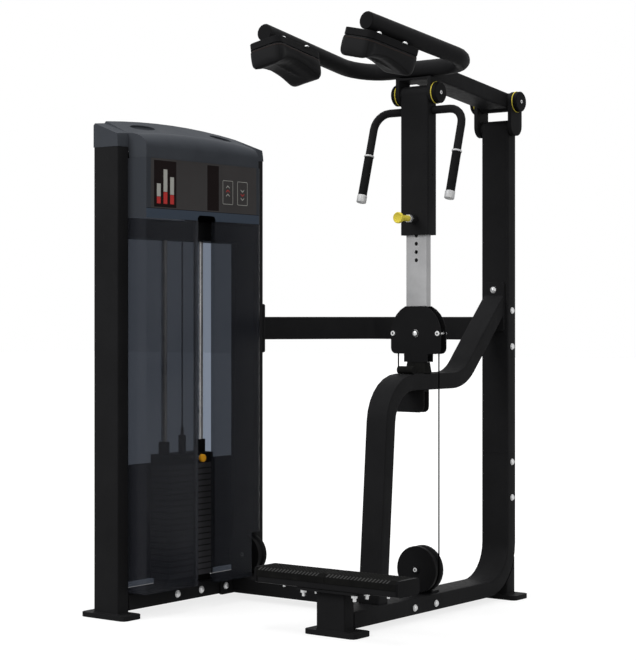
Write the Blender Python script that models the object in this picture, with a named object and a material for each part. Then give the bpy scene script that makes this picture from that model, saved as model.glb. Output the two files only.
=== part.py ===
"""Calf raise machine with a selectorised weight stack.

Frame: metres, +Z up, origin at the centre of the underside of the front foot.
+X is the user's right hand, away from the weight tower. +Y points from the step
to the rear upright. Every size below is a real size in metres.
"""
import math

import bmesh
import bpy
from mathutils import Matrix, Vector

# Clearances between solids
GAP = 0.0003            # left between two pieces that touch
MERGE = 0.000001        # distance under which two points are one

# Steel sections
TUBE_W = 0.100          # main frame tube, wide side
TUBE_D = 0.050          # main frame tube, narrow side
TUBE_WALL = 0.003
TUBE_CORNER = 0.006
BRACE_W = 0.075         # brace and crossbar tube, wide side
BRACE_D = 0.050
PLATE_T = 0.008         # flange plates
FLANGE_EDGE = 0.001     # how far a flange stands proud of its tube
FOOT_T = 0.015          # foot plates

# Front support and step
FRONT_FOOT_X = 0.180
FRONT_FOOT_Y = 0.085
FRONT_FOOT_SHIFT = 0.010
FOOT_CORNER = 0.014
COLUMN_TOP = 0.1262
STEP_FLANGE_X = 0.220
STEP_FLANGE_Y = 0.090
STEP_FLANGE_CORNER = 0.010
STEP_LENGTH = 0.508
STEP_Y = 0.100
STEP_HEIGHT = 0.032
STEP_CAP_T = 0.008
STEP_CAP_CORNER = 0.010
TREAD_T = 0.014
TREAD_LIP = 0.013
TREAD_LIP_T = 0.003
TREAD_SEAM = 0.001
TREAD_EDGE = 0.004      # bevel along the tread's long edges
TREAD_ROUND = 0.001

# Base beam, which bends up into the lower upright
BEAM_BOTTOM = 0.018
UPRIGHT_Y = 0.890       # centre of the upright
BASE_BEND = 0.135       # bend radius on the centre line
SPLICE_Z = 0.468
SPIGOT_LENGTH = 0.130
SPIGOT_WALL = 0.003
SPIGOT_CORNER = 0.003
REAR_FOOT_X = 0.180
REAR_FOOT_Y = 0.085
STUB_Y = 0.885

# Lever pivot on the upright
REAR_PIVOT_Y = 0.885
REAR_PIVOT_Z = 1.600
EAR_CLEAR = 0.007       # from the lever arm's side to an ear
EAR_T = 0.013
EAR_R = 0.033
EAR_BOTTOM = 1.491
HEAD_BAR_Z = 1.518
HEAD_BAR_R = 0.0255
PIVOT_R = 0.010
PIVOT_CAP_R = 0.0325
PIVOT_CAP_T = 0.018
PIVOT_CAP_EDGE = 0.003

# Lever
LEVER_SLOPE = 0.1165    # rise per metre towards the front
LEVER_Z_AT_PIVOT = 1.602
LEVER_FRONT_Y = 0.432
LEVER_HUB_R = 0.030
BAR_R = 0.0254          # shoulder bar
BAR_WALL = 0.003
BAR_FRONT_X = 0.180     # the arms spread towards the rear
BAR_REAR_X = 0.2116
BAR_FRONT_Y = -0.097
BAR_REAR_Y = 0.4177
BAR_REAR_Z = 1.6604
BAR_SLOPE = 0.1247
BAR_BEND = 0.101
BAR_PLUG_T = 0.004
BAR_VENT_R = 0.004

# Shoulder pads: pose of the seam between board and cushion
PAD_X = 0.1696
PAD_Y = -0.0135
PAD_Z = 1.6663
PAD_ROLL = 12.6         # degrees, outer edge down
PAD_PITCH = -7.7
PAD_YAW = -3.3
PAD_WIDTH = 0.112
PAD_LENGTH = 0.228
PAD_CORNER = 0.022
PAD_CORNER_LEAST = 0.004
PAD_LOBE = 0.061        # thickness at the two ends
PAD_ARCH = 0.022        # how far the arch rises over the shoulder
PAD_SIDE_BULGE = 0.0012
PAD_LEVELS = ((0.0, 0.0), (-PAD_SIDE_BULGE, 0.35), (0.0, 0.72), (0.003, 0.88), (0.009, 0.97),
              (0.018, 1.0), (0.034, 1.0), (0.046, 1.0))     # inset and share of the depth
ARCH_START = 0.05       # where the arch starts and how long it is, as shares of the length
ARCH_SPAN = 0.85
ARCH_SKEW = 0.75
BOARD_INSET = 0.002
BOARD_T = 0.020
STUD_R = 0.006
STUD_LENGTH = 0.012
STUD_PLACES = (-0.023, 0.099)

# Front linkage
LIFT_Y = 0.425          # plane of the front pivot, telescope, cable and low pulleys
FRONT_PIVOT_Z = 1.585
CLEVIS_CLEAR = 0.0015   # from the outer post's side to a clevis plate
CLEVIS_T = 0.012
CLEVIS_R = 0.030
CLEVIS_WEB = 0.007
OUTER_BOTTOM = 1.156
OUTER_TOP_R = 0.0255
OUTER_TOP_SINK = 0.004
INNER_W = 0.075
INNER_D = 0.025
INNER_WALL = 0.0025
INNER_CORNER = 0.003
INNER_INSIDE = 0.244    # how far the inner post reaches into the outer post
PIN_HOLE_R = 0.006
PIN_HOLE_PITCH = 0.025
PIN_OVER_BOTTOM = 0.049 # from the outer post's lower end to the pull pin
HOLES_BELOW_PIN = 5
HOLES_ABOVE_PIN = 7
BUSH_HEIGHT = 0.040
BUSH_SETBACK = 0.002
BOSS_R = 0.014
BOSS_LENGTH = 0.022
PULL_PIN_R = 0.005
PULL_PIN_STOP = 0.0003  # the tip stops this far in front of the inner post
KNOB_R = 0.0175
KNOB_LENGTH = 0.022
KNOB_FRONT_Y = 0.312
KNOB_NECK_R = 0.009
KNOB_EDGE = 0.003

# Handles
HANDLE_R = 0.0125
HANDLE_WALL = 0.002
HANDLE_Z = 1.534
HANDLE_Y = 0.430
HANDLE_HALF = 0.160
HANDLE_BEND = 0.050
HANDLE_END_Y = 0.350
HANDLE_END_Z = 1.262
GRIP_R = 0.0150
GRIP_LENGTH = 0.150

# Pulley block
BLOCK_Z = 0.858
BLOCK_HALF = 0.0905
BLOCK_INNER = 0.013     # half the space between the cheeks
CHEEK_T = 0.004
BLOCK_FLAT = 0.0372     # half the cheeks' flat top
BLOCK_BOTTOM = 0.796
BLOCK_CORNER = 0.018
NECK_HALF = 0.042
NECK_BOTTOM = 0.7713
SPACER_X = 0.081
SPACER_R = 0.004
BLOCK_HEAD = 0.003      # how far the block's bolt heads reach past their shanks
BLOCK_HEAD_T = 0.004
BLOCK_WEB_T = 0.003
WELD_IN = 0.0005        # how far a welded plate stays inside the plates it joins

# Cable and pulleys
CABLE_R = 0.0025
BLOCK_PITCH_R = 0.074   # block pulley
PITCH_R = 0.068         # main low pulley
TOWER_PITCH_R = 0.0605
TOWER_PULLEY_X = -0.672
TOP_PITCH_R = 0.050
RIM_OVER_PITCH = 0.003
RIM_EDGE = 0.001
GROOVE_HALF = 0.0105    # half the groove's mouth on a wide pulley
SEAT_SIDE = 0.001
AXLE_R = 0.008
LOW_HALF_WIDTH = 0.0215
SLIM_HALF_WIDTH = 0.011
CABLE_OVER_BEAM = 0.0045
BRACKET_T = 0.006
BRACKET_HALF = 0.034
BRACKET_ROUND = 0.022
BRACKET_TAB = 0.036
BRACKET_LEFT = 0.030    # how far the tower bracket reaches past the tower's centre plane
BRACKET_RIGHT = 0.010
AXLE_SINK = 0.004
BOLT_HEAD_R = 0.011
BOLT_HEAD_T = 0.006

# Brace
BRACE_FOOT_Y = 0.186    # centre line where it leaves the base beam
BRACE_LEAN = 0.0766
BRACE_Z = 0.712
BRACE_BEND_LOW = 0.122
BRACE_BEND_HIGH = 0.140
BRACE_TOP_Z = 0.950     # centre line where it meets the upright
BRACE_FLANGE_LOW = 0.862
BRACE_FLANGE_HIGH = 1.020
BUMPER_X = 0.076
BUMPER_Y = 0.040
BUMPER_TAPER = 0.004
BUMPER_CORNER = 0.006
BUFFER_R = 0.0115
BUFFER_LENGTH = 0.055
BUFFER_X = 0.010
BUFFER_Y = 0.345
ANCHOR_LEFT = -0.105
ANCHOR_RIGHT = 0.029
ANCHOR_BOTTOM = 0.618
ANCHOR_CORNER = 0.018
ANCHOR_HALF = 0.0145
ANCHOR_BLOCK_Z = 0.646
ANCHOR_BLOCK_SIZE = 0.012
ANCHOR_FITTING_R = 0.0055
ANCHOR_FITTING_TOP = 0.675
ANCHOR_NUT_R = 0.009
ANCHOR_STUD_BELOW = 0.012
ANCHOR_NUT_BELOW = 0.004
ANCHOR_NUT_ABOVE = 0.008
WELD_SINK = 0.001       # how far welded plates reach into each other

# Weight tower
TOWER_X = -0.720        # centre plane of posts, stack and rods
TOWER_FRONT_Y = -0.165
TOWER_REAR_Y = 0.480
TOWER_BEAM_BOTTOM = 0.021
POST_TOP = 1.4197
TOWER_FOOT_X = 0.180
TOWER_FOOT_Y = 0.080
TOP_BEAM_BOTTOM = 1.148
TOP_BEAM_H = 0.060
TOP_PULLEY_OVER = 0.062 # from the top beam to the top pulleys' axle
TOP_CHEEK_T = 0.004
TOP_CHEEK_CLEAR = 0.002
TOP_CHEEK_BEYOND = 0.018
TOP_CHEEK_OVER = 0.016
TOP_CHEEK_SINK = 0.0015
CABLE_HOLE_R = 0.009

# Weight stack
STACK_Y = 0.1575
ROD_SPACING = 0.171
ROD_R = 0.010
STACK_X = 0.080
STACK_YW = 0.210
PLATE_COUNT = 19
STACK_PLATE_T = 0.0188
PLATE_GROOVE = 0.0012
PLATE_CORNER = 0.002
CUSHION_T = 0.0185
CUSHION_X = 0.060
CUSHION_CORNER = 0.008
HEAD_T = 0.030
HEAD_CORNER = 0.003
HEAD_SINK = 0.002
HEAD_BUSH_R = 0.017
HEAD_BUSH_H = 0.040
STEM_R = 0.012
STEM_H = 0.057
STEM_FITTING_R = 0.005
STEM_FITTING_H = 0.025
SELECTOR_R = 0.011
SELECTOR_PIN_R = 0.005
SELECTOR_PIN_Z = 0.018  # above the head plate's underside
SELECTOR_KNOB_R = 0.0125
SELECTOR_KNOB_T = 0.014
SELECTOR_KNOB_X = -0.642
SELECTOR_COLLAR = 0.002
SELECTOR_EDGE = 0.003
CUT_PAST = 0.020        # how far a cutter runs past what it cuts
ROD_CLEARANCE = 0.002

# Hood and shrouds
SHROUD_X = -0.597       # front plane of the shroud
SHROUD_T = 0.003
SHROUD_BOTTOM = 0.077
SHROUD_TOP = 1.206
SHROUD_CORNER_Y = 0.389 # where the front plane ends and a wall slants back to the rear post
SHROUD_BEND = 0.008
SHROUD_FLANGE = 0.009   # where that wall lies on the post
SLOT_FRONT_Y = 0.087
SLOT_REAR_Y = 0.173
SLOT_RETURN = 0.014
NOTCH_Y = 0.351
NOTCH_Z = 0.217
SLOT_RISE = 0.016       # height of the slot's round top over the shroud
SLOT_ROUND = 0.014
PLACARD_DROP = 0.0337   # from the posts' top down to the placard's upper edge
BACK_T = 0.003
BACK_OVERLAP = 0.020
BACK_CORNER = 0.006
BACK_OVER_BEAM = 0.010
HOOD_WALL = 0.003
HOOD_RISE = 0.0963      # height of the crown over the posts' top
HOOD_CROWN_Y = 0.120
HOOD_ARCH = 0.171       # fall of the crown per square metre along Y
HOOD_END_STEP = 0.006   # drop of the rear edge over the front post
HOOD_FALL = 0.041       # fall of the top from back to the posts' front face
HOOD_REAR_FALL = 0.034
HOOD_REAR_LEAN = 0.008  # how far the rear end leans in at the top
HOOD_EDGE = 0.006
HOOD_JOINT = 0.0005     # half the step between a post's cap and the middle
POCKET_DEPTH = 0.014
POCKET_WALL = 0.0025
POCKET_TAPER = 0.006
POCKETS = ((-0.716, -0.030, 0.024, 0.055), (-0.716, 0.340, 0.022, 0.055))   # centre and half sizes
HOOD_STRIP = 0.002      # least height of the upright strip along the lower edge
HOOD_SEAM = 0.0005      # seam between the placard and the hood

# Links between tower and main frame
LINK_Y = 0.385
LINK_BOTTOM = 0.020
LINK_FLANGE_Y = 0.214
CROSSBAR_Z = 0.8705
CROSSBAR_CORNER_X = -0.5035
CROSSBAR_TOWER_X = -0.728
CROSSBAR_BEND = 0.060
CROSSBAR_FLANGE_Z = 0.160

# Values worked out from the ones above
EAR_INNER = TUBE_W / 2 + EAR_CLEAR          # half the space between the ears
CLEVIS_INNER = TUBE_W / 2 + CLEVIS_CLEAR    # half the space between the clevis plates
INNER_TOP = OUTER_BOTTOM + INNER_INSIDE
PIN_Z = OUTER_BOTTOM + PIN_OVER_BOTTOM
BLOCK_TOP = BLOCK_Z + math.sqrt(BLOCK_HALF ** 2 - BLOCK_FLAT ** 2)
BEAM_TOP = BEAM_BOTTOM + TUBE_D
BEAM_Z = BEAM_BOTTOM + TUBE_D / 2
STEP_BOTTOM = COLUMN_TOP + PLATE_T + GAP
STEP_TOP = STEP_BOTTOM + STEP_HEIGHT
LINK_TOP = LINK_BOTTOM + TUBE_D
CABLE_LOW_Z = LINK_TOP + CABLE_OVER_BEAM
MAIN_PULLEY_Z = CABLE_LOW_Z + PITCH_R
TOWER_PULLEY_Z = CABLE_LOW_Z + TOWER_PITCH_R
MAIN_PULLEY_X = BLOCK_PITCH_R - PITCH_R
UPRIGHT_FRONT = UPRIGHT_Y - TUBE_D / 2
BRACE_TOP = BRACE_Z + BRACE_D / 2
BRACE_BOTTOM = BRACE_Z - BRACE_D / 2
TOWER_FACE_X = TOWER_X + TUBE_W / 2
TOWER_BACK_X = TOWER_X - TUBE_W / 2
TOWER_BEAM_TOP = TOWER_BEAM_BOTTOM + TUBE_D
TOP_BEAM_TOP = TOP_BEAM_BOTTOM + TOP_BEAM_H
TOP_PULLEY_Z = TOP_BEAM_TOP + TOP_PULLEY_OVER
POST_INNER_FRONT = TOWER_FRONT_Y + TUBE_D / 2
POST_INNER_REAR = TOWER_REAR_Y - TUBE_D / 2
WALL_END_Y = POST_INNER_REAR + 2 * TUBE_CORNER
SLOT_TOP = SHROUD_TOP + SLOT_RISE
PLACARD_TOP = POST_TOP - PLACARD_DROP
HOOD_LIP = PLACARD_TOP + HOOD_SEAM
HOOD_SHOULDER = POST_TOP + GAP
HOOD_CROWN = POST_TOP + HOOD_RISE
CUSHION_BOTTOM = TOWER_BEAM_TOP + GAP
STACK_BOTTOM = CUSHION_BOTTOM + CUSHION_T + GAP
HEAD_BOTTOM = STACK_BOTTOM + PLATE_COUNT * STACK_PLATE_T + GAP
HEAD_TOP = HEAD_BOTTOM + HEAD_T
CABLE_STACK_LOW = HEAD_TOP + STEM_H + STEM_FITTING_H + GAP
TOP_PULLEY_FRONT_Y = STACK_Y + TOP_PITCH_R
TOP_PULLEY_REAR_Y = LIFT_Y - TOP_PITCH_R

# Frames for flat outlines: outline x, outline y, then the direction of extrusion
UP = Matrix.Identity(3)
TO_RIGHT = Matrix(((0, 0, 1), (1, 0, 0), (0, 1, 0)))     # outline in Y, Z, extruded to +X
TO_FRONT = Matrix(((1, 0, 0), (0, 0, -1), (0, 1, 0)))    # outline in X, Z, extruded to -Y


def clear_scene():
    for obj in list(bpy.data.objects):
        bpy.data.objects.remove(obj, do_unlink=True)


def material(name, colour, roughness, metallic=0.0):
    mat = bpy.data.materials.new(name)
    mat.use_nodes = True
    shader = mat.node_tree.nodes["Principled BSDF"]
    shader.inputs["Base Color"].default_value = (*colour, 1.0)
    shader.inputs["Roughness"].default_value = roughness
    shader.inputs["Metallic"].default_value = metallic
    return mat


def black_paint(name):
    return material(name, (0.013, 0.013, 0.014), 0.55, 0.2)


def steel(name):
    return material(name, (0.55, 0.55, 0.56), 0.3, 1.0)


def nylon(name):
    return material(name, (0.011, 0.011, 0.011), 0.45)


def rubber(name):
    return material(name, (0.025, 0.025, 0.026), 0.85)


def smoked(name):
    return material(name, (0.045, 0.050, 0.070), 0.15)


# Outlines

def circle(radius, steps, centre=(0.0, 0.0)):
    angles = [2 * math.pi * (k + 0.5) / steps for k in range(steps)]
    return [(centre[0] + radius * math.cos(a), centre[1] + radius * math.sin(a)) for a in angles]


def rectangle(width, height, corner=0.0, steps=2, centre=(0.0, 0.0)):
    """Counter-clockwise rectangle with round corners of steps segments each."""
    points = []
    for sx, sy, start in ((1, 1, 0), (-1, 1, 90), (-1, -1, 180), (1, -1, 270)):
        cx = centre[0] + sx * (width / 2 - corner)
        cy = centre[1] + sy * (height / 2 - corner)
        if corner == 0.0:
            points.append((cx, cy))
            continue
        for k in range(steps + 1):
            a = math.radians(start + 90 * k / steps)
            points.append((cx + corner * math.cos(a), cy + corner * math.sin(a)))
    return points


def arc(centre, radius, start, end, steps):
    """Points on an arc from start to end degrees, both included."""
    angles = [math.radians(start + (end - start) * k / steps) for k in range(steps + 1)]
    return [(centre[0] + radius * math.cos(a), centre[1] + radius * math.sin(a)) for a in angles]


def strip(points, thickness):
    """Closed outline of a bent sheet that lies to the right of the line of points."""
    inner = []
    for k, point in enumerate(points):
        here = Vector(point)
        before = Vector(points[k - 1]) if k else None
        after = Vector(points[k + 1]) if k + 1 < len(points) else None
        ways = [(here - before).normalized()] if before else []
        ways += [(after - here).normalized()] if after else []
        normals = [Vector((w.y, -w.x)) for w in ways]
        mean = sum(normals, Vector((0, 0))).normalized()
        offset = here + mean * thickness / mean.dot(normals[0])
        inner.append((offset.x, offset.y))
    return list(points) + inner[::-1]


# Solids

def keep(name, bm, mat, place=None):
    """Turn a closed bmesh into a named object, shaded smooth with sharp edges kept."""
    bmesh.ops.remove_doubles(bm, verts=bm.verts, dist=MERGE)
    bmesh.ops.recalc_face_normals(bm, faces=bm.faces)
    mesh = bpy.data.meshes.new(name)
    bm.to_mesh(mesh)
    bm.free()
    mesh.materials.append(mat)
    mesh.shade_smooth()
    mesh.set_sharp_from_angle(angle=math.radians(32))
    obj = bpy.data.objects.new(name, mesh)
    bpy.context.collection.objects.link(obj)
    if place is not None:
        obj.matrix_world = place
    return obj


def at(origin, frame=UP):
    return Matrix.Translation(Vector(origin)) @ frame.to_4x4()


def plate(name, mat, outline, thickness, place, holes=()):
    """Flat piece: an outline with holes, extruded along local Z."""
    bm = bmesh.new()
    edges = []
    for loop in (outline, *holes):
        verts = [bm.verts.new((x, y, 0.0)) for x, y in loop]
        edges += [bm.edges.new(pair) for pair in zip(verts, verts[1:] + verts[:1])]
    fill = bmesh.ops.triangle_fill(bm, use_beauty=True, edges=edges)
    faces = [item for item in fill["geom"] if isinstance(item, bmesh.types.BMFace)]
    grown = bmesh.ops.extrude_face_region(bm, geom=faces)
    verts = [item for item in grown["geom"] if isinstance(item, bmesh.types.BMVert)]
    bmesh.ops.translate(bm, verts=verts, vec=(0.0, 0.0, thickness))
    return keep(name, bm, mat, place)


def skin(name, mat, rings, ends="caps", place=None):
    """Join rings of equal point counts. Ends are flat caps, or the last ring meets the first."""
    bm = bmesh.new()
    rows = [[bm.verts.new(point) for point in ring] for ring in rings]
    pairs = list(zip(rows, rows[1:]))
    if ends == "closed":
        pairs.append((rows[-1], rows[0]))
    for low, high in pairs:
        for k in range(len(low)):
            n = (k + 1) % len(low)
            bm.faces.new((low[k], low[n], high[n], high[k]))
    if ends == "caps":
        bm.faces.new(rows[0][::-1])
        bm.faces.new(rows[-1])
    return keep(name, bm, mat, place)


def turned(name, mat, profile, place, steps=24):
    """Revolve a profile of (radius, height) points about local Z."""
    bm = bmesh.new()
    verts = [bm.verts.new((r, 0.0, z)) for r, z in profile]
    pairs = list(zip(verts, verts[1:]))
    if profile[0][0] > 0.0:
        pairs.append((verts[-1], verts[0]))
    edges = [bm.edges.new(pair) for pair in pairs]
    bmesh.ops.spin(bm, geom=verts + edges, cent=(0, 0, 0), axis=(0, 0, 1),
                   angle=2 * math.pi, steps=steps, use_merge=True)
    return keep(name, bm, mat, place)


def rod(name, mat, radius, length, place, steps=16):
    return turned(name, mat, [(0, 0), (radius, 0), (radius, length), (0, length)], place, steps)


def stations(corners, radii, steps=6):
    """Places and directions along straight runs joined by arcs of the given radii."""
    corners = [Vector(corner) for corner in corners]
    ways = [(b - a).normalized() for a, b in zip(corners, corners[1:])]
    found = [(corners[0], ways[0])]
    for corner, before, after, radius in zip(corners[1:-1], ways, ways[1:], radii):
        turn = before.angle(after)
        start = corner - before * radius * math.tan(turn / 2)
        inward = (after - before * before.dot(after)).normalized()
        centre = start + inward * radius
        for k in range(steps + 1):
            a = turn * k / steps
            place = centre + (before * math.sin(a) - inward * math.cos(a)) * radius
            found.append((place, before * math.cos(a) + inward * math.sin(a)))
    found.append((corners[-1], ways[-1]))
    return found


def ring_at(outline, place, way, side, cut=None):
    """Place an outline square to way, or slid along way on to the cut plane."""
    up = way.cross(side)
    ring = []
    for u, v in outline:
        point = place + side * u + up * v
        if cut is not None:
            plane_point, normal = Vector(cut[0]), Vector(cut[1])
            point = point + way * ((plane_point - point).dot(normal) / way.dot(normal))
        ring.append(point)
    return ring


def bent_tube(name, mat, outer, inner, route, side, start_cut=None, end_cut=None, flange=None):
    """Hollow tube along a route. A flange is (outline ring builder, thickness) at the end."""
    side = Vector(side)
    last = len(route) - 1
    outside = []
    inside = []
    for k, (place, way) in enumerate(route):
        cut = start_cut if k == 0 else end_cut if k == last else None
        outside.append(ring_at(outer, place, way, side, cut))
        inside.append(ring_at(inner, place, way, side, cut))
    if flange is not None:
        outside += flange
        depth = flange[-1][0] - flange[0][0]
        inside.append([point + depth for point in inside[-1]])
    return skin(name, mat, outside + inside[::-1], ends="closed")


def hollow_bar(name, mat, radius, wall, route, side, plug, vent, steps=14):
    """Round tube with plugged ends. Each plug has a small vent hole."""
    side = Vector(side)
    first, last = route[0], route[-1]
    inner_first = (first[0] + first[1] * plug, first[1])
    inner_last = (last[0] - last[1] * plug, last[1])
    rings = [ring_at(circle(radius, steps), *spot, side) for spot in route]
    rings.append(ring_at(circle(vent, steps), *last, side))
    rings.append(ring_at(circle(vent, steps), *inner_last, side))
    inner_route = [inner_first] + route[1:-1] + [inner_last]
    rings += [ring_at(circle(radius - wall, steps), *spot, side) for spot in inner_route[::-1]]
    rings.append(ring_at(circle(vent, steps), *inner_first, side))
    rings.append(ring_at(circle(vent, steps), *first, side))
    return skin(name, mat, rings, ends="closed")


def cable(name, mat, points):
    curve = bpy.data.curves.new(name, "CURVE")
    curve.dimensions = "3D"
    curve.bevel_depth = CABLE_R
    curve.bevel_resolution = 1
    curve.use_fill_caps = True
    spline = curve.splines.new("POLY")
    spline.points.add(len(points) - 1)
    for slot, point in zip(spline.points, points):
        slot.co = (*point, 1.0)
    curve.materials.append(mat)
    obj = bpy.data.objects.new(name, curve)
    bpy.context.collection.objects.link(obj)
    return obj


def combine(target, operation, others):
    """Weld others to the target, or cut them out of it."""
    for other in others:
        modifier = target.modifiers.new(other.name, "BOOLEAN")
        modifier.operation = operation
        modifier.solver = "EXACT"
        modifier.object = other
        other.hide_render = True
        other.display_type = "WIRE"
        other.parent = target
        other.matrix_parent_inverse = target.matrix_world.inverted()
    return target


def weld(target, *others):
    return combine(target, "UNION", others)


def cut(target, *others):
    return combine(target, "DIFFERENCE", others)


def moving(name, location, *objects):
    """An empty on a joint's axis that carries the pieces of one moving body."""
    empty = bpy.data.objects.new(name, None)
    empty.empty_display_size = PIVOT_CAP_R
    empty.location = location
    bpy.context.collection.objects.link(empty)
    for obj in objects:
        obj.parent = empty
        obj.matrix_parent_inverse = Matrix.Translation(Vector(location)).inverted()
    return empty


def tube_outlines(width, depth, wall=TUBE_WALL, corner=TUBE_CORNER):
    inner_corner = max(corner - wall, 0.001)
    return (rectangle(width, depth, corner),
            rectangle(width - 2 * wall, depth - 2 * wall, inner_corner))


def lifted(outline, z, centre=(0.0, 0.0)):
    return [(x + centre[0], y + centre[1], z) for x, y in outline]


def post_on_foot(name, foot_outline, centre, top, flange=None):
    """Upright tube welded to its foot plate, open at the top, which may carry a flange."""
    outer, inner = tube_outlines(TUBE_W, TUBE_D)
    rings = [lifted(foot_outline, 0.0), lifted(foot_outline, FOOT_T),
             lifted(outer, FOOT_T), lifted(outer, top)]
    if flange is not None:
        rings += [lifted(flange, top), lifted(flange, top + PLATE_T)]
        top += PLATE_T
    rings += [lifted(inner, top), lifted(inner, FOOT_T)]
    return skin(name, black_paint(name), rings, place=at((*centre, 0.0)))


def pulley(name, pitch, half_width, place, steps=32):
    """Grooved wheel with a bore. Local Z is its axis."""
    rim = pitch + RIM_OVER_PITCH
    seat = pitch - CABLE_R - GAP
    seat_half = CABLE_R + SEAT_SIDE
    lip = min(half_width / 2, GROOVE_HALF)
    bore = AXLE_R + GAP
    profile = [(bore, -half_width), (rim - RIM_EDGE, -half_width), (rim, RIM_EDGE - half_width),
               (rim, -lip), (seat, -seat_half), (seat, seat_half), (rim, lip),
               (rim, half_width - RIM_EDGE), (rim - RIM_EDGE, half_width), (bore, half_width)]
    return turned(name, nylon(name), profile, place, steps)


def pulley_axle(name, half_width, place, back):
    """Axle with a bolt head in front of the pulley. It starts inside the bracket plate."""
    head = half_width + GAP
    profile = [(0, -half_width - back), (AXLE_R, -half_width - back), (AXLE_R, head),
               (BOLT_HEAD_R, head), (BOLT_HEAD_R, head + BOLT_HEAD_T), (0, head + BOLT_HEAD_T)]
    return turned(name, steel(name), profile, place, 16)


# Sub-assemblies

def build_front_support():
    foot = rectangle(FRONT_FOOT_X, FRONT_FOOT_Y, FOOT_CORNER, centre=(0, FRONT_FOOT_SHIFT))
    flange = rectangle(STEP_FLANGE_X, STEP_FLANGE_Y, STEP_FLANGE_CORNER)
    post_on_foot("front_column", foot, (0.0, 0.0), COLUMN_TOP, flange)


def build_step():
    inside = STEP_LENGTH / 2 - STEP_CAP_T
    outer, inner = tube_outlines(STEP_Y, STEP_HEIGHT)
    plate("step_beam", black_paint("step_beam"), outer, 2 * (inside - GAP),
          at((GAP - inside, 0, STEP_BOTTOM + STEP_HEIGHT / 2), TO_RIGHT), [inner])
    height = STEP_HEIGHT + GAP + TREAD_T
    cap = rectangle(STEP_Y + 2 * (GAP + TREAD_LIP_T), height, STEP_CAP_CORNER, 4)
    for side, name in ((-1, "step_cap_left"), (1, "step_cap_right")):
        x = inside if side > 0 else -inside - STEP_CAP_T
        plate(name, nylon(name), cap, STEP_CAP_T, at((x, 0, STEP_BOTTOM + height / 2), TO_RIGHT))
    half = STEP_Y / 2 + GAP
    outline = [(half, 0), (half, -TREAD_LIP), (half + TREAD_LIP_T, -TREAD_LIP),
               (half + TREAD_LIP_T, TREAD_T - TREAD_EDGE), (half - TREAD_ROUND, TREAD_T),
               (TREAD_ROUND - half, TREAD_T), (-half - TREAD_LIP_T, TREAD_T - TREAD_EDGE),
               (-half - TREAD_LIP_T, -TREAD_LIP), (-half, -TREAD_LIP), (-half, 0)]
    length = inside - GAP - TREAD_SEAM / 2
    for start, name in ((GAP - inside, "tread_left"), (TREAD_SEAM / 2, "tread_right")):
        plate(name, rubber(name), outline, length, at((start, 0, STEP_TOP + GAP), TO_RIGHT))


def build_main_frame():
    outer, inner = tube_outlines(TUBE_W, TUBE_D)
    start_y = TUBE_D / 2 + GAP
    route = stations([(0, start_y, BEAM_Z), (0, UPRIGHT_Y, BEAM_Z), (0, UPRIGHT_Y, SPLICE_Z)],
                     [BASE_BEND], 8)
    build_base_beam(outer, inner, route)

    foot = rectangle(REAR_FOOT_X, REAR_FOOT_Y, FOOT_CORNER)
    stub = post_on_foot("rear_foot", foot, (0.0, STUB_Y), BEAM_BOTTOM + BASE_BEND)
    bend_r = BASE_BEND + TUBE_D / 2 + GAP
    centre = (-TUBE_W, UPRIGHT_Y - BASE_BEND, BEAM_Z + BASE_BEND)
    cut(stub, rod("rear_foot_cutter", black_paint("rear_foot_cutter"), bend_r, 2 * TUBE_W,
                  at(centre, TO_RIGHT), 96))

    build_upper_upright(outer, inner)


def build_base_beam(outer, inner, route):
    """Base beam and lower upright in one bent tube, with a spigot that the upper upright fits over."""
    fit = 2 * (TUBE_WALL + GAP)
    spigot = rectangle(TUBE_W - fit, TUBE_D - fit, SPIGOT_CORNER)
    bore = rectangle(TUBE_W - fit - 2 * SPIGOT_WALL, TUBE_D - fit - 2 * SPIGOT_WALL, SPIGOT_CORNER / 3)
    top = SPLICE_Z + SPIGOT_LENGTH
    rings = [[Vector((x, UPRIGHT_Y + v, z)) for x, v in outline]
             for outline, z in ((spigot, SPLICE_Z), (spigot, top), (bore, top), (bore, SPLICE_Z))]
    side = Vector((1, 0, 0))
    outside = [ring_at(outer, place, way, side) for place, way in route]
    inside = [ring_at(inner, place, way, side) for place, way in route[:-1]]
    step_down = [point - Vector((0, 0, SPIGOT_LENGTH)) for point in rings[-1]]
    inside.append([Vector((x, UPRIGHT_Y + v, SPLICE_Z - SPIGOT_LENGTH)) for x, v in inner])
    skin("base_beam", black_paint("base_beam"),
         outside + rings + [step_down] + inside[::-1], ends="closed")


def build_upper_upright(outer, inner):
    paint = black_paint("upper_upright")
    bottom = SPLICE_Z + GAP
    post = plate("upper_upright", paint, outer, HEAD_BAR_Z - bottom, at((0, UPRIGHT_Y, bottom)), [inner])
    bar_half = EAR_INNER + EAR_T / 2
    head = rod("upright_head", paint, HEAD_BAR_R, 2 * bar_half,
               at((-bar_half, UPRIGHT_Y, HEAD_BAR_Z), TO_RIGHT), 24)
    ear = (arc((0, REAR_PIVOT_Z), EAR_R, 0, 180, 12)
           + arc((0, EAR_BOTTOM + EAR_R), EAR_R, 180, 360, 12))
    hole = circle(PIVOT_R + GAP, 16, (0, REAR_PIVOT_Z))
    left = plate("ear_left", paint, ear, EAR_T, at((-EAR_INNER - EAR_T, REAR_PIVOT_Y, 0), TO_RIGHT), [hole])
    right = plate("ear_right", paint, ear, EAR_T, at((EAR_INNER, REAR_PIVOT_Y, 0), TO_RIGHT), [hole])
    weld(post, head, left, right)


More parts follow.
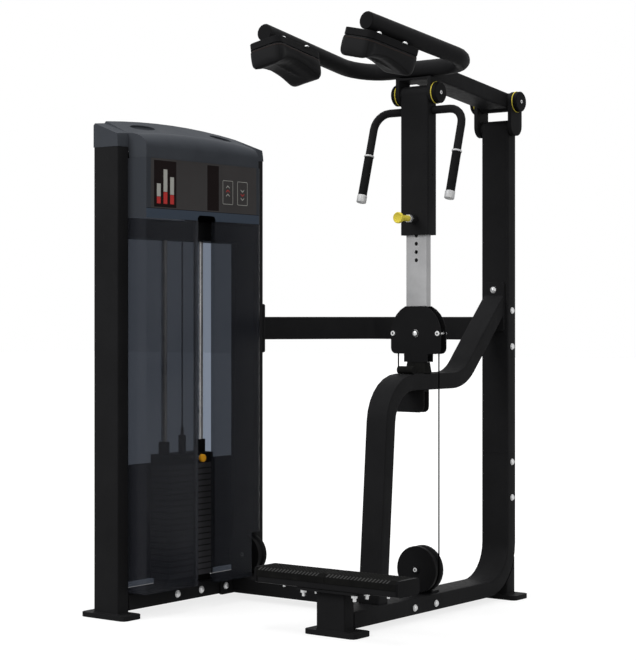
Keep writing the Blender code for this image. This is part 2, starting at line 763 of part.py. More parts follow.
def pivot_pin(name, half, centre):
    """Pivot pin with a round cover pressed on each end. Half is to the plates' outer faces."""
    inner = half + GAP
    outer = inner + PIVOT_CAP_T
    edge = PIVOT_CAP_EDGE
    profile = [(0, -outer), (PIVOT_CAP_R - edge, -outer), (PIVOT_CAP_R, edge - outer),
               (PIVOT_CAP_R, -inner), (PIVOT_R, -inner), (PIVOT_R, inner), (PIVOT_CAP_R, inner),
               (PIVOT_CAP_R, outer - edge), (PIVOT_CAP_R - edge, outer), (0, outer)]
    return turned(name, nylon(name), profile, at(centre, TO_RIGHT), 24)


def build_brace():
    outer, inner = tube_outlines(BRACE_W, BRACE_D)
    foot_z = BEAM_TOP + GAP
    run = BRACE_TOP_Z - BRACE_Z
    flange_back = UPRIGHT_FRONT - GAP
    flange_front = flange_back - PLATE_T
    corner_low = (0, BRACE_FOOT_Y + BRACE_LEAN * (BRACE_Z - foot_z), BRACE_Z)
    corner_high = (0, UPRIGHT_FRONT - run, BRACE_Z)
    end = (0, flange_front, BRACE_TOP_Z - (UPRIGHT_FRONT - flange_front))
    route = stations([(0, BRACE_FOOT_Y, foot_z), corner_low, corner_high, end],
                     [BRACE_BEND_LOW, BRACE_BEND_HIGH], 7)
    height = BRACE_FLANGE_HIGH - BRACE_FLANGE_LOW
    flange = rectangle(BRACE_W + 2 * FLANGE_EDGE, height, TUBE_CORNER)
    middle = (BRACE_FLANGE_HIGH + BRACE_FLANGE_LOW) / 2
    rings = [[Vector((x, y, middle - z)) for x, z in flange] for y in (flange_front, flange_back)]
    bent_tube("brace", black_paint("brace"), outer, inner, route, (1, 0, 0),
              start_cut=((0, 0, foot_z), (0, 0, 1)), end_cut=((0, flange_front, 0), (0, 1, 0)),
              flange=rings)

    low = lifted(rectangle(BUMPER_X, BUMPER_Y, BUMPER_CORNER), BRACE_TOP + GAP, (0, LIFT_Y))
    top = rectangle(BUMPER_X - 2 * BUMPER_TAPER, BUMPER_Y - 2 * BUMPER_TAPER, BUMPER_CORNER)
    high = lifted(top, NECK_BOTTOM - GAP, (0, LIFT_Y))
    skin("rest_bumper", rubber("rest_bumper"), [low, high])
    rod("stop_buffer", rubber("stop_buffer"), BUFFER_R, BUFFER_LENGTH,
        at((BUFFER_X - BUFFER_LENGTH / 2, BUFFER_Y, BRACE_TOP + GAP + BUFFER_R), TO_RIGHT), 20)
    build_anchor()


def build_anchor():
    paint = black_paint("anchor_bracket")
    top = BRACE_BOTTOM - GAP
    left = arc((ANCHOR_LEFT + ANCHOR_CORNER, ANCHOR_BOTTOM + ANCHOR_CORNER), ANCHOR_CORNER, 180, 270, 4)
    right = arc((ANCHOR_RIGHT - ANCHOR_CORNER, ANCHOR_BOTTOM + ANCHOR_CORNER), ANCHOR_CORNER, 270, 360, 4)
    outline = [(ANCHOR_LEFT, top)] + left + right + [(ANCHOR_RIGHT, top)]
    front = plate("anchor_bracket", paint, outline, CHEEK_T,
                  at((0, LIFT_Y - ANCHOR_HALF + CHEEK_T, 0), TO_FRONT))
    back = plate("anchor_back", paint, outline, CHEEK_T, at((0, LIFT_Y + ANCHOR_HALF, 0), TO_FRONT))
    inside = 2 * ANCHOR_HALF - CHEEK_T
    block = plate("anchor_block", paint, rectangle(2 * ANCHOR_BLOCK_SIZE, inside), ANCHOR_BLOCK_SIZE,
                  at((-BLOCK_PITCH_R, LIFT_Y, ANCHOR_BLOCK_Z - ANCHOR_BLOCK_SIZE / 2)))
    web_width = BRACE_W / 2 + ANCHOR_RIGHT - 2 * WELD_SINK
    web = plate("anchor_web", paint, rectangle(web_width, inside), CHEEK_T,
                at((ANCHOR_RIGHT - WELD_SINK - web_width / 2, LIFT_Y, top - CHEEK_T - WELD_SINK)))
    low = ANCHOR_BLOCK_Z - ANCHOR_BLOCK_SIZE
    nut_low = low - ANCHOR_NUT_BELOW
    nut_top = low + ANCHOR_NUT_ABOVE
    profile = [(0, low - ANCHOR_STUD_BELOW), (ANCHOR_FITTING_R, low - ANCHOR_STUD_BELOW),
               (ANCHOR_FITTING_R, nut_low), (ANCHOR_NUT_R, nut_low), (ANCHOR_NUT_R, nut_top),
               (ANCHOR_FITTING_R, nut_top), (ANCHOR_FITTING_R, ANCHOR_FITTING_TOP),
               (0, ANCHOR_FITTING_TOP)]
    stud = turned("anchor_stud", steel("anchor_stud"), profile, at((-BLOCK_PITCH_R, LIFT_Y, 0)), 12)
    weld(front, block, back, web, stud)


def build_links():
    outer, inner = tube_outlines(TUBE_W, TUBE_D)
    flange = rectangle(LINK_FLANGE_Y, TUBE_D + 2 * FLANGE_EDGE, TUBE_CORNER)
    left = TOWER_FACE_X + GAP
    right = -TUBE_W / 2 - GAP
    levels = [(left, flange), (left + PLATE_T, flange), (left + PLATE_T, outer),
              (right - PLATE_T, outer), (right - PLATE_T, flange), (right, flange),
              (right, inner), (left, inner)]
    rings = [[(x, LINK_Y + u, LINK_BOTTOM + TUBE_D / 2 + v) for u, v in outline] for x, outline in levels]
    skin("link_beam", black_paint("link_beam"), rings, ends="closed")

    tower_back = TOWER_REAR_Y + TUBE_D / 2 + GAP
    start = (CROSSBAR_TOWER_X, tower_back + PLATE_T, CROSSBAR_Z)
    corner = (CROSSBAR_CORNER_X, UPRIGHT_Y, CROSSBAR_Z)
    end_x = -TUBE_W / 2 - GAP
    end = (end_x - PLATE_T, UPRIGHT_Y, CROSSBAR_Z)
    outer, inner = tube_outlines(BRACE_W, BRACE_D)
    route = stations([start, corner, end], [CROSSBAR_BEND], 6)
    flange = rectangle(CROSSBAR_FLANGE_Z, BRACE_D + 2 * FLANGE_EDGE, TUBE_CORNER)
    right = [[Vector((x, UPRIGHT_Y - v, CROSSBAR_Z + u)) for u, v in flange]
             for x in (end_x - PLATE_T, end_x)]
    bar = bent_tube("crossbar", black_paint("crossbar"), outer, inner, route, (0, 0, 1),
                    start_cut=(start, (0, 1, 0)), end_cut=(end, (1, 0, 0)), flange=right)
    foot = plate("crossbar_foot", black_paint("crossbar_foot"),
                 rectangle(TUBE_W, CROSSBAR_FLANGE_Z, TUBE_CORNER), PLATE_T + WELD_SINK,
                 at((TOWER_X, tower_back + PLATE_T + WELD_SINK, CROSSBAR_Z), TO_FRONT))
    weld(bar, foot)


def build_tower():
    foot = rectangle(TOWER_FOOT_X, TOWER_FOOT_Y, FOOT_CORNER)
    post_on_foot("tower_front_post", foot, (TOWER_X, TOWER_FRONT_Y), POST_TOP)
    post_on_foot("tower_rear_post", foot, (TOWER_X, TOWER_REAR_Y), POST_TOP)
    outer, inner = tube_outlines(TUBE_W, TUBE_D)
    length = POST_INNER_REAR - POST_INNER_FRONT - 2 * GAP
    plate("tower_base_beam", black_paint("tower_base_beam"), outer, length,
          at((TOWER_X, POST_INNER_REAR - GAP, TOWER_BEAM_BOTTOM + TUBE_D / 2), TO_FRONT), [inner])
    build_top_beam(length)
    rod_length = TOP_BEAM_BOTTOM - TOWER_BEAM_TOP - 2 * GAP
    for side, name in ((-1, "guide_rod_front"), (1, "guide_rod_rear")):
        y = STACK_Y + side * ROD_SPACING / 2
        rod(name, steel(name), ROD_R, rod_length, at((TOWER_X, y, TOWER_BEAM_TOP + GAP)), 16)


def build_top_beam(length):
    paint = black_paint("tower_top_beam")
    outer, inner = tube_outlines(TUBE_W, TOP_BEAM_H)
    beam = plate("tower_top_beam", paint, outer, length,
                 at((TOWER_X, POST_INNER_REAR - GAP, TOP_BEAM_BOTTOM + TOP_BEAM_H / 2), TO_FRONT), [inner])
    low = TOP_BEAM_TOP - TOP_CHEEK_SINK
    high = TOP_PULLEY_Z + TOP_CHEEK_OVER
    front = TOP_PULLEY_FRONT_Y - TOP_CHEEK_BEYOND
    rear = TOP_PULLEY_REAR_Y + TOP_CHEEK_BEYOND
    cheek = [(front, low), (rear, low), (rear, high), (front, high)]
    inside = SLIM_HALF_WIDTH + TOP_CHEEK_CLEAR
    cheeks = [plate(name, paint, cheek, TOP_CHEEK_T, at((x, 0, 0), TO_RIGHT))
              for x, name in ((TOWER_X - inside - TOP_CHEEK_T, "top_cheek_left"),
                              (TOWER_X + inside, "top_cheek_right"))]
    half = inside + TOP_CHEEK_T / 2
    axles = [rod(name, paint, AXLE_R, 2 * half, at((TOWER_X - half, y, TOP_PULLEY_Z), TO_RIGHT), 16)
             for y, name in ((TOP_PULLEY_FRONT_Y, "top_axle_front"), (TOP_PULLEY_REAR_Y, "top_axle_rear"))]
    weld(beam, *cheeks, *axles)
    holes = [rod(name, paint, CABLE_HOLE_R, 2 * TOP_BEAM_H,
                 at((TOWER_X, y, TOP_BEAM_BOTTOM - TOP_BEAM_H / 2)), 12)
             for y, name in ((STACK_Y, "cable_hole_front"), (LIFT_Y, "cable_hole_rear"))]
    cut(beam, *holes)


def build_stack():
    """Guide rods pass the plates with clearance. The plates are one body with a groove at each joint."""
    rod_holes = [circle(ROD_R + ROD_CLEARANCE, 12, (0, side * ROD_SPACING / 2)) for side in (-1, 1)]
    centre_hole = circle(SELECTOR_R + ROD_CLEARANCE, 12)
    outline = rectangle(CUSHION_X, STACK_YW, CUSHION_CORNER)
    plate("stack_cushion", rubber("stack_cushion"), outline, CUSHION_T,
          at((TOWER_X, STACK_Y, CUSHION_BOTTOM)), rod_holes + [centre_hole])

    full = rectangle(STACK_X, STACK_YW, PLATE_CORNER, 1)
    slim = rectangle(STACK_X - 2 * PLATE_GROOVE, STACK_YW - 2 * PLATE_GROOVE, PLATE_CORNER, 1)
    rings = [lifted(slim, STACK_BOTTOM)]
    for k in range(PLATE_COUNT):
        low = STACK_BOTTOM + k * STACK_PLATE_T
        rings += [lifted(full, low + PLATE_GROOVE), lifted(full, low + STACK_PLATE_T - PLATE_GROOVE),
                  lifted(slim, low + STACK_PLATE_T)]
    iron = material("weight_stack", (0.014, 0.014, 0.015), 0.5, 0.4)
    stack = skin("weight_stack", iron, rings, place=at((TOWER_X, STACK_Y, 0)))
    height = PLATE_COUNT * STACK_PLATE_T + CUT_PAST
    holes = []
    for name, radius, y in (("stack_hole_front", ROD_R + ROD_CLEARANCE, -ROD_SPACING / 2),
                            ("stack_hole_rear", ROD_R + ROD_CLEARANCE, ROD_SPACING / 2),
                            ("stack_hole_middle", SELECTOR_R + ROD_CLEARANCE, 0.0)):
        place = at((TOWER_X, STACK_Y + y, STACK_BOTTOM - CUT_PAST / 2))
        holes.append(rod(name, iron, radius, height, place, 12))
    cut(stack, *holes)
    return build_head_plate()


def build_head_plate():
    iron = material("head_plate", (0.014, 0.014, 0.015), 0.5, 0.4)
    bore = ROD_R + GAP
    holes = [circle(bore, 16, (0, side * ROD_SPACING / 2)) for side in (-1, 1)]
    head = plate("head_plate", iron, rectangle(STACK_X, STACK_YW, HEAD_CORNER), HEAD_T,
                 at((TOWER_X, STACK_Y, HEAD_BOTTOM)), holes)
    bushes = []
    for side, name in ((-1, "head_bush_front"), (1, "head_bush_rear")):
        profile = [(bore, -HEAD_SINK), (HEAD_BUSH_R, -HEAD_SINK), (HEAD_BUSH_R, HEAD_BUSH_H),
                   (bore, HEAD_BUSH_H)]
        y = STACK_Y + side * ROD_SPACING / 2
        bushes.append(turned(name, iron, profile, at((TOWER_X, y, HEAD_TOP)), 16))
    stem_top = HEAD_TOP + STEM_H
    selector_low = CUSHION_BOTTOM + GAP
    shoulder = HEAD_BOTTOM + SELECTOR_PIN_R
    profile = [(0, selector_low), (SELECTOR_R, selector_low), (SELECTOR_R, shoulder),
               (STEM_R, shoulder), (STEM_R, stem_top), (STEM_FITTING_R, stem_top),
               (STEM_FITTING_R, stem_top + STEM_FITTING_H), (0, stem_top + STEM_FITTING_H)]
    stem = turned("head_stem", iron, profile, at((TOWER_X, STACK_Y, 0)), 16)
    weld(head, *bushes, stem)
    pin_z = HEAD_BOTTOM + SELECTOR_PIN_Z
    face = TOWER_X + STACK_X / 2
    cut(head, rod("selector_hole", iron, SELECTOR_PIN_R + GAP, STACK_X / 2 + CUT_PAST,
                  at((TOWER_X, STACK_Y, pin_z), TO_RIGHT), 12))
    start = TOWER_X + 2 * GAP
    knob_low = SELECTOR_KNOB_X - start
    collar = face + GAP - start
    collar_r = SELECTOR_PIN_R + SELECTOR_COLLAR
    edge_r = SELECTOR_KNOB_R - SELECTOR_EDGE
    knob_high = knob_low + SELECTOR_KNOB_T
    profile = [(0, 0), (SELECTOR_PIN_R, 0), (SELECTOR_PIN_R, collar), (collar_r, collar),
               (collar_r, knob_low), (edge_r, knob_low), (SELECTOR_KNOB_R, knob_low + SELECTOR_EDGE),
               (SELECTOR_KNOB_R, knob_high - SELECTOR_EDGE), (edge_r, knob_high), (0, knob_high)]
    amber = material("selector_pin", (0.83, 0.38, 0.03), 0.4)
    pin = turned("selector_pin", amber, profile, at((start, STACK_Y, pin_z), TO_RIGHT), 16)
    return head, pin


def slanted_wall():
    """Plan of the shroud from its front plane round to the rear post, as points in X and Y."""
    corner = Vector((SHROUD_X, SHROUD_CORNER_Y))
    end = Vector((TOWER_FACE_X + GAP + SHROUD_T, WALL_END_Y))
    way = (end - corner).normalized()
    turn = math.degrees(math.acos(way.y))
    start_y = SHROUD_CORNER_Y - SHROUD_BEND * math.tan(math.radians(turn) / 2)
    bend = arc((SHROUD_X - SHROUD_BEND, start_y), SHROUD_BEND, 0, turn, 3)
    return bend + [(end.x, end.y), (end.x, end.y + SHROUD_FLANGE)]


def hood_front(y):
    """Front edge of the hood's middle, which follows the shroud below it."""
    share = min(max((y - SHROUD_CORNER_Y) / (WALL_END_Y - SHROUD_CORNER_Y), 0.0), 1.0)
    return SHROUD_X + (TOWER_FACE_X + GAP + SHROUD_T - SHROUD_X) * share


def hood_crown(y):
    return HOOD_CROWN - HOOD_ARCH * (y - HOOD_CROWN_Y) ** 2


def hood_section(y, kind, lean=0.0):
    """Back edge, crown, shoulder and front lip of the hood at one place along Y."""
    crown = hood_crown(y)
    shoulder = crown - (HOOD_REAR_FALL if kind == "rear" else HOOD_FALL)
    if kind == "front":
        crown -= HOOD_END_STEP
    front = hood_front(y) if kind in ("middle", "wall_end") else TOWER_FACE_X
    low = HOOD_LIP if kind == "middle" else POST_TOP + 2 * GAP
    base = TOWER_FACE_X - HOOD_EDGE / 2
    reach = front - base
    drop = shoulder - max(HOOD_SHOULDER, low + HOOD_STRIP)
    points = [(TOWER_BACK_X, max(low, POST_TOP + GAP)), (TOWER_BACK_X, crown - HOOD_EDGE),
              (TOWER_BACK_X + HOOD_EDGE, crown)]
    for k in range(7):
        a = math.radians(15 * k)
        points.append((base + reach * math.sin(a), shoulder - drop * (1 - math.cos(a))))
    points.append((front, low))
    height = crown - POST_TOP
    return [(x, y - lean * max(0.0, z - POST_TOP) / height, z) for x, z in points]


def build_hood():
    start = POST_INNER_FRONT - SHROUD_T
    end = WALL_END_Y
    rows = [hood_section(TOWER_FRONT_Y - TUBE_D / 2, "front"), hood_section(start - HOOD_JOINT, "front")]
    rows += [hood_section(start + HOOD_JOINT + (SHROUD_CORNER_Y - start - HOOD_JOINT) * k / 7, "middle")
             for k in range(8)]
    slant = end - HOOD_JOINT - SHROUD_CORNER_Y
    rows += [hood_section(SHROUD_CORNER_Y + slant * k / 3, "middle") for k in (1, 2, 3)]
    rows += [hood_section(end, "wall_end"), hood_section(end + 2 * HOOD_JOINT, "rear"),
             hood_section(TOWER_REAR_Y + TUBE_D / 2, "rear", HOOD_REAR_LEAN)]
    bm = bmesh.new()
    rows = [[bm.verts.new(point) for point in row] for row in rows]
    for low, high in zip(rows, rows[1:]):
        for k in range(len(low) - 1):
            bm.faces.new((low[k], low[k + 1], high[k + 1], high[k]))
    bm.faces.new(rows[0])
    bm.faces.new(rows[-1][::-1])
    foot = bm.verts.new((TOWER_FACE_X + SHROUD_T, start + HOOD_JOINT, HOOD_LIP))
    bm.faces.new((rows[1][-1], foot, rows[2][-1]))
    paint = material("hood", (0.035, 0.042, 0.052), 0.45)
    hood = keep("hood", bm, paint)
    shell = hood.modifiers.new("wall", "SOLIDIFY")
    shell.thickness = HOOD_WALL
    shell.offset = -1.0
    shell.use_even_offset = True
    for number, spot in enumerate(POCKETS):
        add_pocket(hood, paint, number, spot)


def add_pocket(hood, paint, number, spot):
    """Moulded oval pocket in the hood's sloping top."""
    x, y, half_x, half_y = spot
    across = HOOD_FALL / (TUBE_W - HOOD_EDGE)
    along = -2 * HOOD_ARCH * (y - HOOD_CROWN_Y)
    top = hood_crown(y) - across * (x - TOWER_BACK_X - HOOD_EDGE)
    way_x = Vector((1.0, 0.0, -across)).normalized()
    up = way_x.cross(Vector((0.0, 1.0, along))).normalized()
    turn = Matrix((way_x, up.cross(way_x), up)).transposed()
    place = Matrix.Translation((x, y, top)) @ turn.to_4x4()
    angles = [2 * math.pi * k / 20 for k in range(20)]
    cup = []
    hollow = []
    for inset, z in ((POCKET_TAPER, -POCKET_DEPTH), (0.0, -POCKET_DEPTH / 2), (0.0, -HOOD_WALL / 2)):
        cup.append([((half_x - inset) * math.cos(a), (half_y - inset) * math.sin(a), z) for a in angles])
    for inset, z in ((POCKET_TAPER, POCKET_WALL - POCKET_DEPTH), (0.0, -POCKET_DEPTH / 2), (0.0, CUT_PAST)):
        inset += POCKET_WALL
        hollow.append([((half_x - inset) * math.cos(a), (half_y - inset) * math.sin(a), z) for a in angles])
    weld(hood, skin("pocket_cup_%d" % number, paint, cup, place=place))
    cut(hood, skin("pocket_hollow_%d" % number, paint, hollow, place=place))


def build_shrouds():
    face = TOWER_FACE_X + GAP
    left_y = POST_INNER_FRONT - SHROUD_T
    wall = slanted_wall()
    left_line = [(face, left_y), (SHROUD_X, left_y), (SHROUD_X, SLOT_FRONT_Y),
                 (SHROUD_X - SLOT_RETURN, SLOT_FRONT_Y)]
    right_line = [(SHROUD_X - SLOT_RETURN, SLOT_REAR_Y), (SHROUD_X, SLOT_REAR_Y), *wall]
    height = SHROUD_TOP - GAP - SHROUD_BOTTOM
    left = strip(left_line[::-1], -SHROUD_T)
    plate("shroud_left", smoked("shroud_left"), left, height, at((0, 0, SHROUD_BOTTOM)))
    right = strip(right_line[::-1], -SHROUD_T)
    panel = plate("shroud_right", smoked("shroud_right"), right, height, at((0, 0, SHROUD_BOTTOM)))
    reach = POST_INNER_REAR - NOTCH_Y + 2 * CUT_PAST
    notch = plate("pulley_notch", smoked("pulley_notch"), rectangle(2 * TUBE_W, reach),
                  NOTCH_Z - SHROUD_BOTTOM + CUT_PAST,
                  at((SHROUD_X, NOTCH_Y + reach / 2, SHROUD_BOTTOM - CUT_PAST)))
    cut(panel, notch)
    build_placard([(face, left_y), (SHROUD_X, left_y), *wall])
    length = POST_INNER_REAR - POST_INNER_FRONT + 2 * BACK_OVERLAP
    middle = (POST_INNER_REAR + POST_INNER_FRONT) / 2
    bottom = TOWER_BEAM_TOP + BACK_OVER_BEAM
    sheet = rectangle(length, POST_TOP - bottom, BACK_CORNER)
    plate("shroud_back", smoked("shroud_back"), sheet, BACK_T,
          at((TOWER_BACK_X - GAP - BACK_T, middle, (POST_TOP + bottom) / 2), TO_RIGHT))


def build_placard(line):
    """Upper front cover, with the round top of the selector slot cut into its lower edge."""
    paint = material("placard", (0.04, 0.038, 0.036), 0.5)
    board = plate("placard", paint, strip(line[::-1], -SHROUD_T), PLACARD_TOP - SHROUD_TOP,
                  at((0, 0, SHROUD_TOP)))
    width = SLOT_REAR_Y - SLOT_FRONT_Y
    low = SHROUD_TOP - CUT_PAST
    centre = ((SLOT_FRONT_Y + SLOT_REAR_Y) / 2, (low + SLOT_TOP) / 2)
    opening = rectangle(width, SLOT_TOP - low, SLOT_ROUND, 4, centre)
    cut(board, plate("slot_top", paint, opening, 2 * CUT_PAST, at((SHROUD_X - CUT_PAST, 0, 0), TO_RIGHT)))


def build_low_pulleys():
    """Each low pulley turns on an axle that stands out of a plate behind it."""
    main_at = (MAIN_PULLEY_X, LIFT_Y, MAIN_PULLEY_Z)
    tower_at = (TOWER_PULLEY_X, LIFT_Y, TOWER_PULLEY_Z)
    main = pulley("main_low_pulley", PITCH_R, LOW_HALF_WIDTH, at(main_at, TO_FRONT))
    tower = pulley("tower_low_pulley", TOWER_PITCH_R, LOW_HALF_WIDTH, at(tower_at, TO_FRONT))
    back = LIFT_Y + LOW_HALF_WIDTH + 2 * GAP

    paint = black_paint("main_pulley_bracket")
    outline = ([(-BRACKET_HALF, BEAM_TOP + GAP), (BRACKET_HALF, BEAM_TOP + GAP)]
               + arc((MAIN_PULLEY_X, MAIN_PULLEY_Z), BRACKET_ROUND, 0, 180, 8))
    bracket = plate("main_pulley_bracket", paint, outline, BRACKET_T,
                    at((0, back + BRACKET_T, 0), TO_FRONT))
    tab_y = back + BRACKET_T / 2 + BRACKET_TAB / 2
    tab = plate("bracket_tab", paint, rectangle(2 * BRACKET_HALF, BRACKET_TAB), BRACKET_T,
                at((0, tab_y, BEAM_TOP + GAP)))
    axle = pulley_axle("main_axle", LOW_HALF_WIDTH, at(main_at, TO_FRONT), AXLE_SINK)
    weld(bracket, tab, axle)

    paint = black_paint("tower_pulley_bracket")
    left = TOWER_X - BRACKET_LEFT
    outline = [(left, TOWER_BEAM_TOP + GAP), (TOWER_PULLEY_X + BRACKET_RIGHT, TOWER_BEAM_TOP + GAP),
               *arc((TOWER_PULLEY_X, TOWER_PULLEY_Z), BRACKET_ROUND, 0, 90, 4),
               (left, TOWER_PULLEY_Z + BRACKET_LEFT)]
    depth = POST_INNER_REAR - GAP - back
    mount = plate("tower_pulley_bracket", paint, outline, depth, at((0, back + depth, 0), TO_FRONT))
    axle = pulley_axle("tower_axle", LOW_HALF_WIDTH, at(tower_at, TO_FRONT), AXLE_SINK)
    weld(mount, axle)
    return main, tower


def build_top_pulleys():
    places = (("top_pulley_front", TOP_PULLEY_FRONT_Y), ("top_pulley_rear", TOP_PULLEY_REAR_Y))
    return [pulley(name, TOP_PITCH_R, SLIM_HALF_WIDTH, at((TOWER_X, y, TOP_PULLEY_Z), TO_RIGHT), 28)
            for name, y in places]


def build_cables():
    dark = material("cable_fixed_run", (0.02, 0.02, 0.02), 0.4)
    over = (arc((TOP_PULLEY_FRONT_Y, TOP_PULLEY_Z), TOP_PITCH_R, 180, 90, 7)
            + arc((TOP_PULLEY_REAR_Y, TOP_PULLEY_Z), TOP_PITCH_R, 90, 0, 7))
    under = (arc((TOWER_PULLEY_X, TOWER_PULLEY_Z), TOWER_PITCH_R, 180, 270, 8)
             + arc((MAIN_PULLEY_X, MAIN_PULLEY_Z), PITCH_R, 270, 360, 8))
    points = [(TOWER_X, y, z) for y, z in over] + [(x, LIFT_Y, z) for x, z in under]
    cable("cable_fixed_run", dark, points)

    dark = material("cable_stack_run", (0.02, 0.02, 0.02), 0.4)
    stack_run = cable("cable_stack_run", dark,
                      [(TOWER_X, STACK_Y, CABLE_STACK_LOW), (TOWER_X, STACK_Y, TOP_PULLEY_Z - GAP)])
    lift = straight_run("cable_lift_run", BLOCK_PITCH_R, MAIN_PULLEY_Z + GAP, BLOCK_Z - GAP)
    anchor = straight_run("cable_anchor_run", -BLOCK_PITCH_R, ANCHOR_FITTING_TOP + GAP, BLOCK_Z - GAP)
    dark = material("cable_wrap", (0.02, 0.02, 0.02), 0.4)
    loop = arc((0, BLOCK_Z), BLOCK_PITCH_R, 0, 180, 16)
    over_block = cable("cable_wrap", dark, [(x, LIFT_Y, z) for x, z in loop])
    return stack_run, [lift, anchor, over_block]


def straight_run(name, x, low, high):
    dark = material(name, (0.02, 0.02, 0.02), 0.4)
    return cable(name, dark, [(x, LIFT_Y, low), (x, LIFT_Y, high)])


def lever_line(y):
    """Height of the lever arm's centre line."""
    return LEVER_Z_AT_PIVOT + (REAR_PIVOT_Y - y) * LEVER_SLOPE


def bar_height(y):
    return BAR_REAR_Z + (BAR_REAR_Y - y) * BAR_SLOPE


def bar_side(y):
    """Distance of a shoulder bar arm from the centre plane."""
    return BAR_FRONT_X + (BAR_REAR_X - BAR_FRONT_X) * (y - BAR_FRONT_Y) / (BAR_REAR_Y - BAR_FRONT_Y)


def pad_frame(side):
    """Pose of one pad's seam plane. Side is -1 on the left and 1 on the right."""
    turn = (Matrix.Rotation(math.radians(side * PAD_YAW), 4, "Z")
            @ Matrix.Rotation(math.radians(PAD_PITCH), 4, "X")
            @ Matrix.Rotation(math.radians(side * PAD_ROLL), 4, "Y"))
    return Matrix.Translation((side * PAD_X, PAD_Y, PAD_Z)) @ turn


def pad_depth(y):
    """Cushion thickness along its length: two lobes with an arch between them."""
    share = (y + PAD_LENGTH / 2) / PAD_LENGTH
    span = min(max((share - ARCH_START) / ARCH_SPAN, 0.0), 1.0)
    return PAD_LOBE - PAD_ARCH * math.sin(math.pi * span ** ARCH_SKEW)


def build_pad(side, name):
    """Cushion with bulged sides, rounded lower edges and an arched underside."""
    rings = []
    for inset, share in PAD_LEVELS:
        corner = max(PAD_CORNER - inset, PAD_CORNER_LEAST)
        outline = rectangle(PAD_WIDTH - 2 * inset, PAD_LENGTH - 2 * inset, corner, 4)
        outline = split_sides(outline, 8)
        rings.append([(x, y, -GAP - share * pad_depth(y)) for x, y in outline])
    return skin(name, material(name, (0.016, 0.016, 0.017), 0.6), rings, place=pad_frame(side))


def split_sides(outline, parts):
    """Add points along the two long straight sides of a rectangle outline."""
    found = []
    for k, point in enumerate(outline):
        after = outline[(k + 1) % len(outline)]
        found.append(point)
        if abs(after[1] - point[1]) > PAD_LENGTH / 3:
            found += [(point[0], point[1] + (after[1] - point[1]) * n / parts) for n in range(1, parts)]
    return found


def build_lever():
    paint = black_paint("lever_arm")
    outer, inner = tube_outlines(TUBE_W, TUBE_D)
    start_y = REAR_PIVOT_Y - LEVER_HUB_R / 2
    route = stations([(0, start_y, lever_line(start_y)), (0, LEVER_FRONT_Y, lever_line(LEVER_FRONT_Y))], [])
    arm = bent_tube("lever_arm", paint, outer, inner, route, (1, 0, 0),
                    end_cut=((0, LEVER_FRONT_Y, 0), (0, 1, 0)))
    hub_half = EAR_INNER - 2 * GAP
    bore = PIVOT_R + GAP
    profile = [(bore, -hub_half), (LEVER_HUB_R, -hub_half), (LEVER_HUB_R, hub_half), (bore, hub_half)]
    hub = turned("lever_hub", paint, profile, at((0, REAR_PIVOT_Y, REAR_PIVOT_Z), TO_RIGHT), 24)
    weld(arm, hub)
    saddle_r = BAR_R + GAP
    saddle = arc((BAR_REAR_Y, BAR_REAR_Z), saddle_r, 180, 360, 24)
    saddle += [(BAR_REAR_Y + saddle_r, BAR_REAR_Z + TUBE_D), (BAR_REAR_Y - saddle_r, BAR_REAR_Z + TUBE_D)]
    cut(arm, plate("lever_saddle", paint, saddle, 2 * TUBE_W, at((-TUBE_W, 0, 0), TO_RIGHT)))
    bar = build_shoulder_bar()
    clevis = build_clevis()
    pieces = [arm, bar, clevis]
    for side, word in ((-1, "left"), (1, "right")):
        name = "pad_board_" + word
        outline = rectangle(PAD_WIDTH - 2 * BOARD_INSET, PAD_LENGTH - 2 * BOARD_INSET,
                            PAD_CORNER - BOARD_INSET, 4)
        pieces.append(plate(name, black_paint(name), outline, BOARD_T, pad_frame(side)))
        pieces.append(build_pad(side, "shoulder_pad_" + word))
    moving("lever_axis", (0, REAR_PIVOT_Y, REAR_PIVOT_Z), *pieces)


def build_shoulder_bar():
    paint = black_paint("shoulder_bar")
    front_z = bar_height(BAR_FRONT_Y)
    route = stations([(-BAR_FRONT_X, BAR_FRONT_Y, front_z), (-BAR_REAR_X, BAR_REAR_Y, BAR_REAR_Z),
                      (BAR_REAR_X, BAR_REAR_Y, BAR_REAR_Z), (BAR_FRONT_X, BAR_FRONT_Y, front_z)],
                     [BAR_BEND, BAR_BEND], 7)
    side = Vector((0, -BAR_SLOPE, -1)).normalized()
    bar = hollow_bar("shoulder_bar", paint, BAR_R, BAR_WALL, route, side, BAR_PLUG_T, BAR_VENT_R, 16)
    studs = []
    for side, word in ((-1, "left"), (1, "right")):
        pose = pad_frame(side)
        for k, y in enumerate(STUD_PLACES):
            centre = pose.inverted() @ Vector((side * bar_side(y), y, bar_height(y)))
            base = pose @ Vector((centre.x, centre.y, BOARD_T + GAP))
            place = Matrix.Translation(base) @ pose.to_3x3().to_4x4()
            studs.append(rod("pad_stud_%s_%d" % (word, k), paint, STUD_R, STUD_LENGTH, place, 12))
    return weld(bar, *studs)


